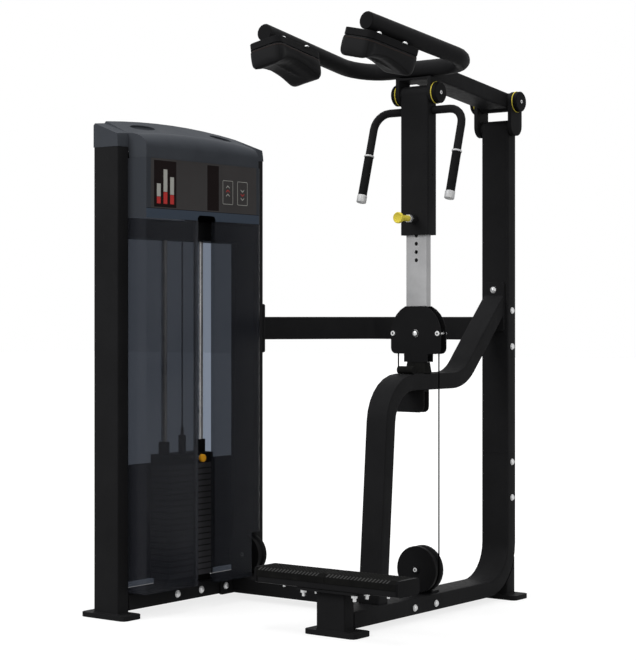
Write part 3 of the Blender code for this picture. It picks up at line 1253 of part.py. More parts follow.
def build_clevis():
    """Two plates and a web under the lever arm, round the front pivot."""
    paint = black_paint("front_clevis")
    drop = TUBE_D / 2 * math.sqrt(1 + LEVER_SLOPE ** 2) + GAP
    front = LIFT_Y - CLEVIS_R
    rear = LIFT_Y + CLEVIS_R
    top = [(rear, lever_line(rear) - drop), (front, lever_line(front) - drop)]
    outline = top + arc((LIFT_Y, FRONT_PIVOT_Z), CLEVIS_R, 180, 360, 12)
    hole = circle(PIVOT_R + GAP, 16, (LIFT_Y, FRONT_PIVOT_Z))
    left = plate("front_clevis", paint, outline, CLEVIS_T,
                 at((-CLEVIS_INNER - CLEVIS_T, 0, 0), TO_RIGHT), [hole])
    right = plate("clevis_right", paint, outline, CLEVIS_T, at((CLEVIS_INNER, 0, 0), TO_RIGHT), [hole])
    near = front + WELD_SINK
    far = rear - WELD_SINK
    near_z = lever_line(front) - drop
    far_z = lever_line(rear) - drop
    web_outline = [(near, near_z - WELD_SINK), (far, far_z - WELD_SINK),
                   (far, far_z - CLEVIS_WEB), (near, near_z - CLEVIS_WEB)]
    half = CLEVIS_INNER + CLEVIS_T / 2
    web = plate("clevis_web", paint, web_outline, 2 * half, at((-half, 0, 0), TO_RIGHT))
    return weld(left, web, right)


def build_outer_post():
    paint = black_paint("outer_post")
    outer, inner = tube_outlines(TUBE_W, TUBE_D)
    post = plate("outer_post", paint, outer, FRONT_PIVOT_Z - OUTER_TOP_SINK - OUTER_BOTTOM,
                 at((0, LIFT_Y, OUTER_BOTTOM)), [inner])
    half = TUBE_W / 2 + GAP
    top = rod("outer_top", paint, OUTER_TOP_R, 2 * half, at((-half, LIFT_Y, FRONT_PIVOT_Z), TO_RIGHT), 24)
    bore = rod("outer_bore", paint, PIVOT_R + GAP, 2 * TUBE_W,
               at((-TUBE_W, LIFT_Y, FRONT_PIVOT_Z), TO_RIGHT), 16)
    face = LIFT_Y - TUBE_D / 2
    boss = rod("pin_boss", paint, BOSS_R, BOSS_LENGTH, at((0, face + TUBE_WALL / 2, PIN_Z), TO_FRONT), 16)
    weld(post, top, boss)
    cut(post, bore,
        rod("pin_bore", paint, PULL_PIN_R + GAP, 3 * BOSS_LENGTH,
            at((0, face + BOSS_LENGTH, PIN_Z), TO_FRONT), 12))

    pin_end = LIFT_Y - INNER_D / 2 - PULL_PIN_STOP
    neck = pin_end - (face - BOSS_LENGTH - GAP + TUBE_WALL / 2)
    knob_end = pin_end - KNOB_FRONT_Y
    knob_low = knob_end - KNOB_LENGTH
    profile = [(0, 0), (PULL_PIN_R, 0), (PULL_PIN_R, neck), (KNOB_NECK_R, neck), (KNOB_NECK_R, knob_low),
               (KNOB_R - KNOB_EDGE, knob_low), (KNOB_R, knob_low + KNOB_EDGE),
               (KNOB_R, knob_end - KNOB_EDGE), (KNOB_R - KNOB_EDGE, knob_end), (0, knob_end)]
    yellow = material("pull_pin", (0.75, 0.60, 0.07), 0.35)
    pin = turned("pull_pin", yellow, profile, at((0, pin_end, PIN_Z), TO_FRONT), 20)
    moving("pull_pin_axis", (0, pin_end, PIN_Z), pin)

    inset = 2 * (TUBE_WALL + GAP)
    bush_outer = rectangle(TUBE_W - inset, TUBE_D - inset, INNER_CORNER)
    bush_inner = rectangle(INNER_W + 2 * GAP, INNER_D + 2 * GAP, INNER_CORNER)
    bush = plate("post_bush", nylon("post_bush"), bush_outer, BUSH_HEIGHT,
                 at((0, LIFT_Y, OUTER_BOTTOM + BUSH_SETBACK)), [bush_inner])
    pieces = [post, bush, *build_handles()]
    pieces.append(pivot_pin("front_pivot_pin", CLEVIS_INNER + CLEVIS_T, (0, LIFT_Y, FRONT_PIVOT_Z)))
    moving("outer_post_axis", (0, LIFT_Y, FRONT_PIVOT_Z), *pieces)


def build_handles():
    pieces = []
    for side, word in ((-1, "left"), (1, "right")):
        root = (side * (TUBE_W / 2 + GAP), HANDLE_Y, HANDLE_Z)
        corner = (side * HANDLE_HALF, HANDLE_Y, HANDLE_Z)
        end = Vector((side * HANDLE_HALF, HANDLE_END_Y, HANDLE_END_Z))
        route = stations([root, corner, end], [HANDLE_BEND], 6)
        way = route[-1][1]
        across = Vector((1, 0, 0)).cross(way)
        name = "handle_" + word
        pieces.append(hollow_bar(name, black_paint(name), HANDLE_R, HANDLE_WALL, route, across,
                                 HANDLE_WALL, HANDLE_WALL, 12))
        name = "grip_" + word
        inner = HANDLE_R + GAP
        start = end - way * GRIP_LENGTH
        turn = way.to_track_quat("Z", "Y").to_matrix().to_4x4()
        profile = [(inner, 0), (GRIP_R, 0), (GRIP_R, GRIP_LENGTH), (inner, GRIP_LENGTH)]
        pieces.append(turned(name, rubber(name), profile, Matrix.Translation(start) @ turn, 16))
    return pieces


def build_inner_post():
    grey = material("inner_post", (0.40, 0.40, 0.39), 0.4)
    outer, inner = tube_outlines(INNER_W, INNER_D, INNER_WALL, INNER_CORNER)
    bottom = BLOCK_TOP + GAP
    post = plate("inner_post", grey, outer, INNER_TOP - bottom, at((0, LIFT_Y, bottom)), [inner])
    front = LIFT_Y - INNER_D / 2
    depth = 2 * INNER_WALL
    cutters = []
    for k in range(-HOLES_BELOW_PIN, HOLES_ABOVE_PIN + 1):
        place = at((0, front + 3 * INNER_WALL / 2, PIN_Z + k * PIN_HOLE_PITCH), TO_FRONT)
        cutters.append(rod("pin_hole_%d" % (k + HOLES_BELOW_PIN), grey, PIN_HOLE_R, depth, place, 12))
    cut(post, *cutters)

    wheel = pulley("block_pulley", BLOCK_PITCH_R, SLIM_HALF_WIDTH, at((0, LIFT_Y, BLOCK_Z), TO_FRONT))
    moving("block_pulley_axis", (0, LIFT_Y, BLOCK_Z), wheel)
    return post, build_block()


def block_outline():
    """Round-topped cheek with a flat top, straight sides, round corners and a neck below."""
    flat = math.degrees(math.acos(BLOCK_FLAT / BLOCK_HALF))
    right = arc((0, BLOCK_Z), BLOCK_HALF, 0, flat, 5)
    left = arc((0, BLOCK_Z), BLOCK_HALF, 180 - flat, 180, 5)
    low = BLOCK_BOTTOM + BLOCK_CORNER
    inset = BLOCK_HALF - BLOCK_CORNER
    return (right + left + arc((-inset, low), BLOCK_CORNER, 180, 270, 4)
            + [(-NECK_HALF, BLOCK_BOTTOM), (-NECK_HALF, NECK_BOTTOM), (NECK_HALF, NECK_BOTTOM),
               (NECK_HALF, BLOCK_BOTTOM)] + arc((inset, low), BLOCK_CORNER, 270, 360, 4))


def build_block():
    paint = black_paint("pulley_block")
    outline = block_outline()
    reach = BLOCK_INNER + CHEEK_T
    front = plate("pulley_block", paint, outline, CHEEK_T, at((0, LIFT_Y - BLOCK_INNER, 0), TO_FRONT))
    back = plate("block_back", paint, outline, CHEEK_T, at((0, LIFT_Y + reach, 0), TO_FRONT))
    bind = CHEEK_T / 2
    half = BLOCK_INNER + bind
    web = plate("block_web", paint, rectangle(2 * (BLOCK_FLAT - 2 * WELD_IN), 2 * half), BLOCK_WEB_T,
                at((0, LIFT_Y, BLOCK_TOP - BLOCK_WEB_T - WELD_IN)))
    bolts = []
    for x, radius, name in ((0, AXLE_R, "block_axle"), (SPACER_X, SPACER_R, "spacer_right"),
                            (-SPACER_X, SPACER_R, "spacer_left")):
        head = radius + BLOCK_HEAD
        out = reach + BLOCK_HEAD_T
        profile = [(0, -out), (head, -out), (head, -half), (radius, -half), (radius, half),
                   (head, half), (head, out), (0, out)]
        bolts.append(turned(name, paint, profile, at((x, LIFT_Y, BLOCK_Z), TO_FRONT), 12))
    return weld(front, back, web, *bolts)


def main():
    clear_scene()
    build_front_support()
    build_step()
    build_main_frame()
    pivot_pin("rear_pivot_pin", EAR_INNER + EAR_T, (0, REAR_PIVOT_Y, REAR_PIVOT_Z))
    build_brace()
    build_links()
    build_tower()
    head, selector = build_stack()
    build_hood()
    build_shrouds()
    main_pulley, tower_pulley = build_low_pulleys()
    moving("main_low_pulley_axis", (MAIN_PULLEY_X, LIFT_Y, MAIN_PULLEY_Z), main_pulley)
    moving("tower_low_pulley_axis", (TOWER_PULLEY_X, LIFT_Y, TOWER_PULLEY_Z), tower_pulley)
    top_front, top_rear = build_top_pulleys()
    moving("top_pulley_front_axis", (TOWER_X, TOP_PULLEY_FRONT_Y, TOP_PULLEY_Z), top_front)
    moving("top_pulley_rear_axis", (TOWER_X, TOP_PULLEY_REAR_Y, TOP_PULLEY_Z), top_rear)
    stack_run, lift_runs = build_cables()
    moving("stack_lift_axis", (TOWER_X, STACK_Y, HEAD_BOTTOM), head, stack_run)
    moving("selector_axis", (TOWER_X, STACK_Y, HEAD_BOTTOM + SELECTOR_PIN_Z), selector)
    build_lever()
    build_outer_post()
    inner_post, block = build_inner_post()
    moving("telescope_axis", (0, LIFT_Y, BLOCK_TOP), inner_post, block, *lift_runs)


main()
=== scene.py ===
import math

import bmesh
import bpy
import numpy as np
from mathutils import Matrix, Vector
from mathutils.bvhtree import BVHTree


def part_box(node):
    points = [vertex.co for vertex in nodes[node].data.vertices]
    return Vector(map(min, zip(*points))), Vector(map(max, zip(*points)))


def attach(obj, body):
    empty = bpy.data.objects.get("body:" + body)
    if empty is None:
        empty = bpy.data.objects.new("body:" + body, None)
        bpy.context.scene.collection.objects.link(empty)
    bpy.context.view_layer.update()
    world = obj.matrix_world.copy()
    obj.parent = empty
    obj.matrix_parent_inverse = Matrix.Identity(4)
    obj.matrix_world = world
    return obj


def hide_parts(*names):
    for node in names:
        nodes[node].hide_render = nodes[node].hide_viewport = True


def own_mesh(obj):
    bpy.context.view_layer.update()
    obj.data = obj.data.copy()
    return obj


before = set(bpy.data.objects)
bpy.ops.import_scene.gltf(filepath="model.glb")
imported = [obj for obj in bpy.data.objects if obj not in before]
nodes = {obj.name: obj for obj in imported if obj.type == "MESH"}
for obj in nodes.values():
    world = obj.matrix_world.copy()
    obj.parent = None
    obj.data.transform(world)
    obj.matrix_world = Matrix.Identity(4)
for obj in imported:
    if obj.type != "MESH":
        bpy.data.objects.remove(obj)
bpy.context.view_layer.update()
scene = bpy.context.scene

# The photograph's view
CAMERA_PLACE = (3.0658, -4.1259, 0.91)
CAMERA_TURN = 37.16  # degrees about the upright
PHOTO_HEIGHT = 660
PHOTO_FOCUS = 1801.8  # focal length in the photograph's pixels
PHOTO_HORIZON = 316.24  # row of the horizon
SENSOR = 36.0


def clear_start_objects():
    """Takes away the start-up cube, lamp and camera."""
    for name in ("Cube", "Light", "Camera"):
        found = bpy.data.objects.get(name)
        if found is not None and name not in nodes:
            bpy.data.objects.remove(found)


def add_camera():
    """Level camera with a small vertical shift, as the photograph has."""
    data = bpy.data.cameras.new("camera")
    data.sensor_fit = "VERTICAL"
    data.sensor_width = SENSOR
    data.sensor_height = SENSOR
    data.lens = PHOTO_FOCUS / PHOTO_HEIGHT * SENSOR
    data.shift_y = (PHOTO_HORIZON - PHOTO_HEIGHT / 2) / PHOTO_HEIGHT
    data.clip_end = 200.0
    camera = new_object("camera", data)
    camera.location = CAMERA_PLACE
    camera.rotation_euler = (math.radians(90.0), 0.0, math.radians(CAMERA_TURN))
    scene.camera = camera


def new_object(name, data):
    made = bpy.data.objects.new(name, data)
    scene.collection.objects.link(made)
    return made


# Shader helpers
class Nodes:
    """A node tree, with the few nodes that are used again and again."""

    def __init__(self, tree):
        self.tree = tree

    def feed(self, socket, value):
        """Links an output to an input, or sets the input's own value."""
        if isinstance(value, bpy.types.NodeSocket):
            self.tree.links.new(value, socket)
        else:
            socket.default_value = value

    def node(self, kind, inputs=None, **settings):
        made = self.tree.nodes.new(kind)
        for name, value in settings.items():
            setattr(made, name, value)
        for key, value in (inputs or {}).items():
            self.feed(made.inputs[key], value)
        return made

    def math(self, operation, *values):
        made = self.node("ShaderNodeMath", dict(enumerate(values)), operation=operation)
        return made.outputs["Value"]

    def both(self, first, second):
        return self.math("MULTIPLY", first, second)

    def range(self, source, low, high, start=0.0, end=1.0):
        inputs = {"Value": source, "From Min": start, "From Max": end, "To Min": low, "To Max": high}
        return self.node("ShaderNodeMapRange", inputs).outputs["Result"]

    def seen(self):
        """One for a ray that shows the surround to the camera, and nought for one that lights."""
        rays = self.node("ShaderNodeLightPath").outputs
        direct = self.math("MAXIMUM", rays["Is Camera Ray"], rays["Is Glossy Ray"])
        return self.math("MAXIMUM", direct, rays["Is Transmission Ray"])


class Finish(Nodes):
    """A material with one Principled shader."""

    def __init__(self, name, colour, roughness, metallic=0.0, gloss=0.5):
        self.material = bpy.data.materials.new(name)
        self.material.use_nodes = True
        super().__init__(self.material.node_tree)
        self.shader = self.tree.nodes["Principled BSDF"].inputs
        self.shader["Base Color"].default_value = (*colour, 1.0)
        self.shader["Roughness"].default_value = roughness
        self.shader["Metallic"].default_value = metallic
        self.shader["Specular IOR Level"].default_value = gloss
        self.place = self.node("ShaderNodeTexCoord").outputs["Object"]

    def stretched(self, scale):
        """Object coordinates stretched along each axis."""
        return self.node("ShaderNodeMapping", {"Vector": self.place, "Scale": scale}).outputs["Vector"]

    def noise(self, scale, detail=3.0, roughness=0.5, along=None):
        place = self.place if along is None else self.stretched(along)
        inputs = {"Vector": place, "Scale": scale, "Detail": detail, "Roughness": roughness}
        return self.node("ShaderNodeTexNoise", inputs).outputs["Fac"]

    def cells(self, scale, feature="F1"):
        inputs = {"Vector": self.place, "Scale": scale}
        return self.node("ShaderNodeTexVoronoi", inputs, feature=feature).outputs["Distance"]

    def ramp(self, source, dark, light, start=0.3, end=0.7):
        """Turns a value into a colour between two."""
        made = self.node("ShaderNodeValToRGB", {"Fac": source})
        for element, position, colour in zip(made.color_ramp.elements, (start, end), (dark, light)):
            element.position = position
            element.color = (*colour, 1.0)
        return made.outputs["Color"]

    def axis(self, letter):
        return self.node("ShaderNodeSeparateXYZ", {"Vector": self.place}).outputs[letter]

    def near(self, letter, middle, reach):
        """One where a coordinate lies within reach of a plane."""
        away = self.math("ABSOLUTE", self.math("SUBTRACT", self.axis(letter), middle))
        return self.math("LESS_THAN", away, reach)

    def between(self, source, low, high):
        return self.both(self.math("GREATER_THAN", source, low), self.math("LESS_THAN", source, high))

    def mix(self, share, first, second):
        """Blends two colours or colour outputs by a grey value."""
        made = self.node("ShaderNodeMix", {"Factor": share}, data_type="RGBA")
        for index, value in ((6, first), (7, second)):
            self.feed(made.inputs[index], (*value, 1.0) if isinstance(value, tuple) else value)
        return made.outputs[2]

    def surface(self, colour, rough, *reliefs):
        """Sets the colour, the roughness from (source, low, high), and the relief, layer on layer."""
        self.feed(self.shader["Base Color"], colour)
        if rough is not None:
            self.feed(self.shader["Roughness"], self.range(*rough, 0.3, 0.7))
        normal = None
        for source, distance, strength in reliefs:
            inputs = {"Height": source, "Distance": distance, "Strength": strength}
            if normal is not None:
                inputs["Normal"] = normal
            normal = self.node("ShaderNodeBump", inputs).outputs["Normal"]
            self.feed(self.shader["Normal"], normal)
        return self.material


def grey(value):
    """Linear value of an 8-bit grey."""
    share = value / 255.0
    return share / 12.92 if share <= 0.04045 else ((share + 0.055) / 1.055) ** 2.4


def tone(red, green, blue):
    return (grey(red), grey(green), grey(blue))


def dull(shade, cool=0):
    """Grey, with a little more or less blue."""
    return tone(shade, shade, shade + cool)


# Sizes and places on the machine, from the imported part
LIFT_Y = 0.425  # plane of the front pivot, telescope and cable
FRONT_PIVOT = (LIFT_Y, 1.585)  # along Y and Z
REAR_PIVOT = (0.885, 1.600)
MAIN_PULLEY = (0.006, 0.1425)  # along X and Z
TOWER_PULLEY = (-0.672, 0.135)
FLANGE_T = 0.008
BEAM_BOLT_Z = 0.046
TOWER_BOLT_Y = (0.079, 0.1916)
LINK_BOLT_Y = (0.303, 0.467)
BEAM_SIDE_BOLTS = ((0.3316, 0.040), (0.446, 0.0394))  # along Y and Z
SPLICE_BOLT_Z = (0.440, 0.325)
CROSSBAR_BOLT_Z = (0.9285, 0.8125)
BRACE_BOLT_Z = (0.995, 0.884)
COLUMN_NUT_X = 0.090
COLUMN_NUT_Y = 0.030
STEP_NUT_X = 0.185
CROSSBAR_TOWER_X = -0.728
SPACER_X = 0.081
SPACER_R = 0.0048
BLOCK_GAP_HALF = 0.013
BLOCK_Z = 0.858
BLOCK_HEAD_T = 0.004
PIVOT_CAP_T = 0.018
PLACARD_FACE_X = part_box("placard")[1].x
PLACARD_TOP = 1.386
BAND_TOP = 1.235
BAND_LINE = 0.0008  # half height of the dark line over the band
PRINT_Y = (-0.126, 0.374)  # where the printed field starts and ends
UPRIGHT_Y = 0.890
TUBE_SIDE_X = 0.050
TUBE_WIDE = 0.100
TUBE_NARROW = 0.050
WELDS = ((0.0, 0.0, 0.0155), (0.0, 0.0, 0.1256), (0.0, 0.885, 0.0155), (-0.720, -0.165, 0.0155),
         (-0.720, 0.480, 0.0155))
WELD_CORNER = 0.006
WELD_STEP = 0.003
WELD_R = 0.0019
HOLE_SHADE_AT = (0.427, 1.338)  # along Y and Z; where a small hole's shade is painted as a dark disc
HANDLE_HALF = 0.160
HANDLE_Y = 0.430
HANDLE_Z = 1.534
HANDLE_END = (0.350, 1.262)
GRIP_BORE = 0.0126
GRIP_FOOT_R = 0.0128
GRIP_R = 0.01375
GRIP_CAP = 0.018  # where the end cap stops and the foam starts
CAP_T = 0.005  # how far the end cap reaches past the tube
CAP_R = 0.0153
COLLAR_R = 0.0158
COLLAR_T = 0.0055
GRIP_TOP = 0.142  # where the foam stops and its collar starts
KNOB_Z = 1.205
NUT_T = 0.011
NUT_R = 0.0128
NUT_BORE = 0.0052
PIN_R = 0.0046
BOARD_T = 0.020
PAD_NUTS = ((0.045, -0.072), (0.052, 0.036), (-0.045, -0.072), (-0.052, 0.036))
PAD_NUT_LIFT = 0.0001
PAD_WIDTH = 0.112
PAD_LENGTH = 0.228
PAD_CORNER = 0.022
BAR_FRONT_X = 0.180
BAR_REAR_X = 0.2116
BAR_FRONT_Y = -0.097
BAR_REAR_Y = 0.4177
BAR_SLOPE = 0.1247
BAR_END_REACH = 0.006
STUD_PITCH = 0.0122
STUD_EDGE = 0.003
RIB_W = 0.0052
RIB_T = 0.0012
TREAD_T = 0.014
TREAD_LIP_T = 0.003
TREAD_SLOPE = 0.0095  # width and height of the sloped long edges
PLACARD_BLOCKS = ((-0.112, -0.012), (0.133, 0.188))
BAR_HEIGHTS = (0.060, 0.104, 0.082)
BAR_FIRST_Y = -0.100
BAR_PITCH = 0.030
BAR_WIDTH = 0.017
BAR_FOOT_Z = 1.250
ARROW_Y = (0.232, 0.304)
ARROW_Z = 1.300
ARROW_SIZE = 0.050
ARROW_LINE = 0.0028
ARROW_STEP = 0.013
MARK_T = 0.0003
CABLE_R = 0.0022
NEST = 0.0002  # step in radius from one nested tube to the next
ANCHOR_RUN_OVER = 0.008  # how far the inmost tube reaches up into the wrap
PLATE_COUNT = 19
BACK_FOOT_INSET = 0.006

# Finishes
COAT_GLOSS = 0.02  # specular level of painted and moulded surfaces
FINE_GRAIN = 1500.0
KNOB_REAR_X = -0.6425  # plane where the amber knob ends and its steel pin begins
FRONT_SHADE = (0.0205, 0.0220, 0.0270)
FRONT_COVER = 0.60  # share of what lies behind that the smoked front hides
LIP_Y = 0.0825  # middle of the strip beside the slot that is painted lighter as a highlight on the slot's edge
LIP_HALF = 0.006
# painted highlight: colour of the lighter strip that stands in for light caught on the slot's edge
LIP_HIGHLIGHT = (0.046, 0.048, 0.056)
BACK_TINT = (0.171, 0.198, 0.246)
BACK_IOR = 1.05
GUARD_TOP = 0.450  # dark lower stretch of the back sheet
GUARD_BOTTOM = 0.0884
HEAD_SPACE_Z = 1.290  # above this the back sheet is dark again
# painted light: the plates' colour is far lighter than their black paint, standing in for light that the
# shroud keeps from them
PLATE_SHADE = 84
JOINT_LINE = 0.0036  # height of the dark line at a joint between plates
JOINT_SHADE = 42


def powder_coat(name="powder_coat", shade=32):
    """Fine textured black powder coat with faint handling marks."""
    made = Finish(name, dull(shade, 1), 0.5, gloss=COAT_GLOSS)
    marks = made.noise(60.0, 5.0, 0.65, (1.0, 1.0, 0.25))
    base = made.ramp(made.noise(5.0, 4.0, 0.55), dull(shade - 3, 1), dull(shade + 3, 1))
    dust = made.range(marks, 0.0, 0.3, 0.60, 0.88)
    colour = made.mix(dust, base, dull(shade + 20))
    return made.surface(colour, (marks, 0.44, 0.60), (made.noise(FINE_GRAIN, 2.0, 0.6), 0.00025, 0.45))


def plate_coat():
    """Painted plates with a dark line at each joint between two of them, coloured lighter than their black
    paint as painted light for the dim inside of the shroud.
    """
    made = Finish("plate_paint", dull(PLATE_SHADE, 4), 0.5, gloss=COAT_GLOSS)
    low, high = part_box("weight_stack")
    pitch = (high.z - low.z) / PLATE_COUNT
    over = made.math("SUBTRACT", made.axis("Z"), low.z - JOINT_LINE / 2)
    joint = made.math("LESS_THAN", made.math("MODULO", over, pitch), JOINT_LINE)
    broad = made.noise(7.0, 4.0, 0.55)
    paint = made.ramp(broad, dull(PLATE_SHADE - 4, 4), dull(PLATE_SHADE + 4, 4))
    colour = made.mix(joint, paint, dull(JOINT_SHADE))
    return made.surface(colour, (broad, 0.44, 0.58), (made.noise(FINE_GRAIN, 2.0, 0.6), 0.0002, 0.4))


def block_coat():
    """Black coat of the pulley block, whose spacers between the cheeks are bright."""
    made = Finish("block_coat", dull(28, 1), 0.5, gloss=COAT_GLOSS)
    outer = made.math("GREATER_THAN", made.math("ABSOLUTE", made.axis("X")), SPACER_X - SPACER_R)
    bright = made.both(outer, made.near("Y", LIFT_Y, BLOCK_GAP_HALF - 0.0003))
    broad = made.noise(6.0, 4.0, 0.55)
    colour = made.mix(bright, made.ramp(broad, dull(25, 1), dull(31, 1)), dull(196))
    made.feed(made.shader["Metallic"], bright)
    return made.surface(colour, (broad, 0.44, 0.56), (made.noise(FINE_GRAIN, 2.0, 0.6), 0.0002, 0.4))


def moulded_plastic(name, shade, roughness=0.5, gloss=COAT_GLOSS, steel_behind=None):
    """Moulded plastic with a fine spark-eroded grain, and plain steel behind a plane along X."""
    made = Finish(name, tone(*shade), roughness, gloss=gloss)
    broad = made.noise(9.0)
    colour = made.ramp(broad, tone(*(value - 3 for value in shade)), tone(*(value + 3 for value in shade)))
    if steel_behind is not None:
        colour = made.mix(made.math("LESS_THAN", made.axis("X"), steel_behind), colour, dull(128, 3))
    grain = made.noise(900.0, 3.0, 0.6)
    return made.surface(colour, (broad, roughness - 0.06, roughness + 0.06), (grain, 0.00018, 0.4))


def cable_coat():
    """Dull black sleeve of the steel cable."""
    return moulded_plastic("cable_coat", (12, 12, 13), 0.8, gloss=0.0)


def placard_print():
    """Dark front board: grey middle, a bluish band along the lower edge and a dark line over it."""
    made = Finish("placard_print", tone(58, 56, 55), 0.42, gloss=COAT_GLOSS)
    height = made.axis("Z")
    front = made.math("GREATER_THAN", made.axis("X"), PLACARD_FACE_X - 0.0002)
    inside = made.both(made.between(made.axis("Y"), *PRINT_Y), front)
    band = made.both(made.math("LESS_THAN", height, BAND_TOP), front)
    line = made.both(made.math("COMPARE", height, BAND_TOP, BAND_LINE), front)
    broad = made.noise(7.0)
    board = made.ramp(broad, tone(64, 62, 62), tone(69, 67, 67))
    printed = made.mix(inside, tone(58, 61, 66), board)
    colour = made.mix(line, made.mix(band, printed, tone(65, 74, 86)), dull(20, 2))
    return made.surface(colour, (broad, 0.38, 0.5), (made.noise(1200.0, 2.0, 0.6), 0.0001, 0.3))


def smoked_front():
    """Smoked see-through sheet over the stack, with a strip beside the slot painted lighter as a highlight
    on the slot's edge.
    """
    made = Finish("smoked_front", FRONT_SHADE, 0.16, gloss=0.06)
    made.shader["Alpha"].default_value = FRONT_COVER
    lighter = tuple(value * 1.2 for value in FRONT_SHADE)
    sheet = made.ramp(made.noise(6.0, 4.0, 0.6), FRONT_SHADE, lighter, end=0.8)
    colour = made.mix(made.near("Y", LIP_Y, LIP_HALF), sheet, LIP_HIGHLIGHT)
    return made.surface(colour, (made.noise(90.0, 4.0, 0.65, (1.0, 0.3, 1.0)), 0.10, 0.26))


def smoked_back(name, guarded):
    """Blue-grey tinted sheet behind the stack. A guarded one is dark low down and at the pulleys."""
    made = Finish(name, BACK_TINT, 0.05, gloss=0.2)
    made.shader["IOR"].default_value = BACK_IOR
    made.shader["Transmission Weight"].default_value = 1.0
    darker = tuple(value * 0.97 for value in BACK_TINT)
    tint = made.ramp(made.noise(4.0, 3.0, 0.6), darker, BACK_TINT, end=0.8)
    if guarded:
        height = made.axis("Z")
        low = made.between(height, GUARD_BOTTOM, GUARD_TOP)
        solid = made.math("MAXIMUM", low, made.math("GREATER_THAN", height, HEAD_SPACE_Z))
        made.feed(made.shader["Transmission Weight"], made.range(solid, 1.0, 0.0))
        made.feed(made.shader["Roughness"], made.range(solid, 0.05, 0.5))
        tint = made.mix(solid, tint, dull(24, 1))
    return made.surface(tint, None)


def bright_steel(name, shade=185, roughness=0.24, metallic=1.0):
    """Plated or drawn steel with fine lines along its length."""
    made = Finish(name, dull(shade, 2), roughness, metallic)
    lines = made.noise(700.0, 4.0, 0.6, (1.0, 1.0, 0.04))
    colour = made.ramp(made.noise(14.0, 4.0, 0.6), dull(shade - 9, 1), dull(shade + 7, 1))
    return made.surface(colour, (lines, roughness - 0.07, roughness + 0.12), (lines, 0.00006, 0.25))


def zinc_plate():
    """Bright zinc on bolts and nuts, slightly mottled."""
    made = Finish("zinc_plate", dull(205, 1), 0.34, 0.75)
    mottle = made.noise(420.0, 4.0, 0.6)
    colour = made.ramp(mottle, tone(190, 191, 194), dull(214, -2))
    return made.surface(colour, (mottle, 0.26, 0.44), (mottle, 0.00008, 0.3))


def satin_cap():
    """Satin light grey caps and collars of the handles."""
    made = Finish("satin_cap", dull(200, -1), 0.5, 0.15)
    lines = made.noise(500.0, 3.0, 0.6, (1.0, 1.0, 0.1))
    colour = made.ramp(made.noise(60.0, 4.0, 0.6), tone(186, 187, 189), dull(206, -2))
    return made.surface(colour, (lines, 0.42, 0.58), (lines, 0.00005, 0.3))


def rubber(name, shade=34, roughness=0.75):
    """Matt black rubber with a soft bloom."""
    made = Finish(name, dull(shade), roughness, gloss=COAT_GLOSS)
    bloom = made.noise(28.0, 5.0, 0.6)
    colour = made.ramp(bloom, dull(shade - 4), dull(shade + 6, -1), 0.35, 0.75)
    fine = made.noise(1100.0, 2.0, 0.6)
    return made.surface(colour, (bloom, roughness - 0.08, roughness + 0.08), (fine, 0.0002, 0.35))


def hand_grip():
    """Soft black grip with fine closed cells."""
    made = Finish("hand_grip", dull(26, 1), 0.7, gloss=COAT_GLOSS)
    wear_and_rib_highlight = made.noise(40.0, 4.0, 0.6)
    colour = made.ramp(wear_and_rib_highlight, dull(23, 1), dull(33), 0.35, 0.8)
    return made.surface(colour, (wear_and_rib_highlight, 0.62, 0.8), (made.cells(900.0), 0.0003, 0.4))


def seam_thread():
    """Brownish seam thread."""
    made = Finish("seam_thread", tone(58, 44, 38), 0.7, gloss=0.1)
    twist = made.noise(900.0, 2.0)
    return made.surface(made.ramp(twist, tone(46, 36, 32), tone(66, 50, 43)), None, (twist, 0.0002, 0.4))


def cushion_vinyl():
    """Black upholstery vinyl: small leather-like cells, slight sheen, faint creases."""
    made = Finish("cushion_vinyl", dull(26, 1), 0.55, gloss=0.05)
    creases = made.noise(24.0, 5.0, 0.62)
    colour = made.ramp(creases, dull(23, 1), dull(29, 1), end=0.75)
    cells = made.cells(620.0, "DISTANCE_TO_EDGE")
    grain = made.noise(1600.0, 2.0, 0.6)
    return made.surface(colour, (creases, 0.48, 0.64), (cells, 0.0003, 0.5), (grain, 0.0001, 0.3),
                        (creases, 0.0012, 0.2))


# Shapes in mesh code
ROUND_STEPS = 36  # sides of a turned piece
TUBE_STEPS = 6  # sides of a seam or a weld bead
SINK = 0.0003  # how far a fitted piece reaches into what carries it


def facing(place, direction):
    """Pose at a place, with its own Z along a direction."""
    turn = Vector(direction).to_track_quat("Z", "Y").to_matrix().to_4x4()
    return Matrix.Translation(Vector(place)) @ turn


def upright_plane(x):
    """Pose in the plane at x, with its own X along Y and its own Y upright."""
    return Matrix(((0, 0, 1, x), (1, 0, 0, 0), (0, 1, 0, 0), (0, 0, 0, 1)))


def sides_factor(angle, sides=0):
    """How far a regular outline's flat pulls in from the circle through its corners."""
    if not sides:
        return 1.0
    half = math.pi / sides
    return math.cos(half) / math.cos(angle % (2 * half) - half)


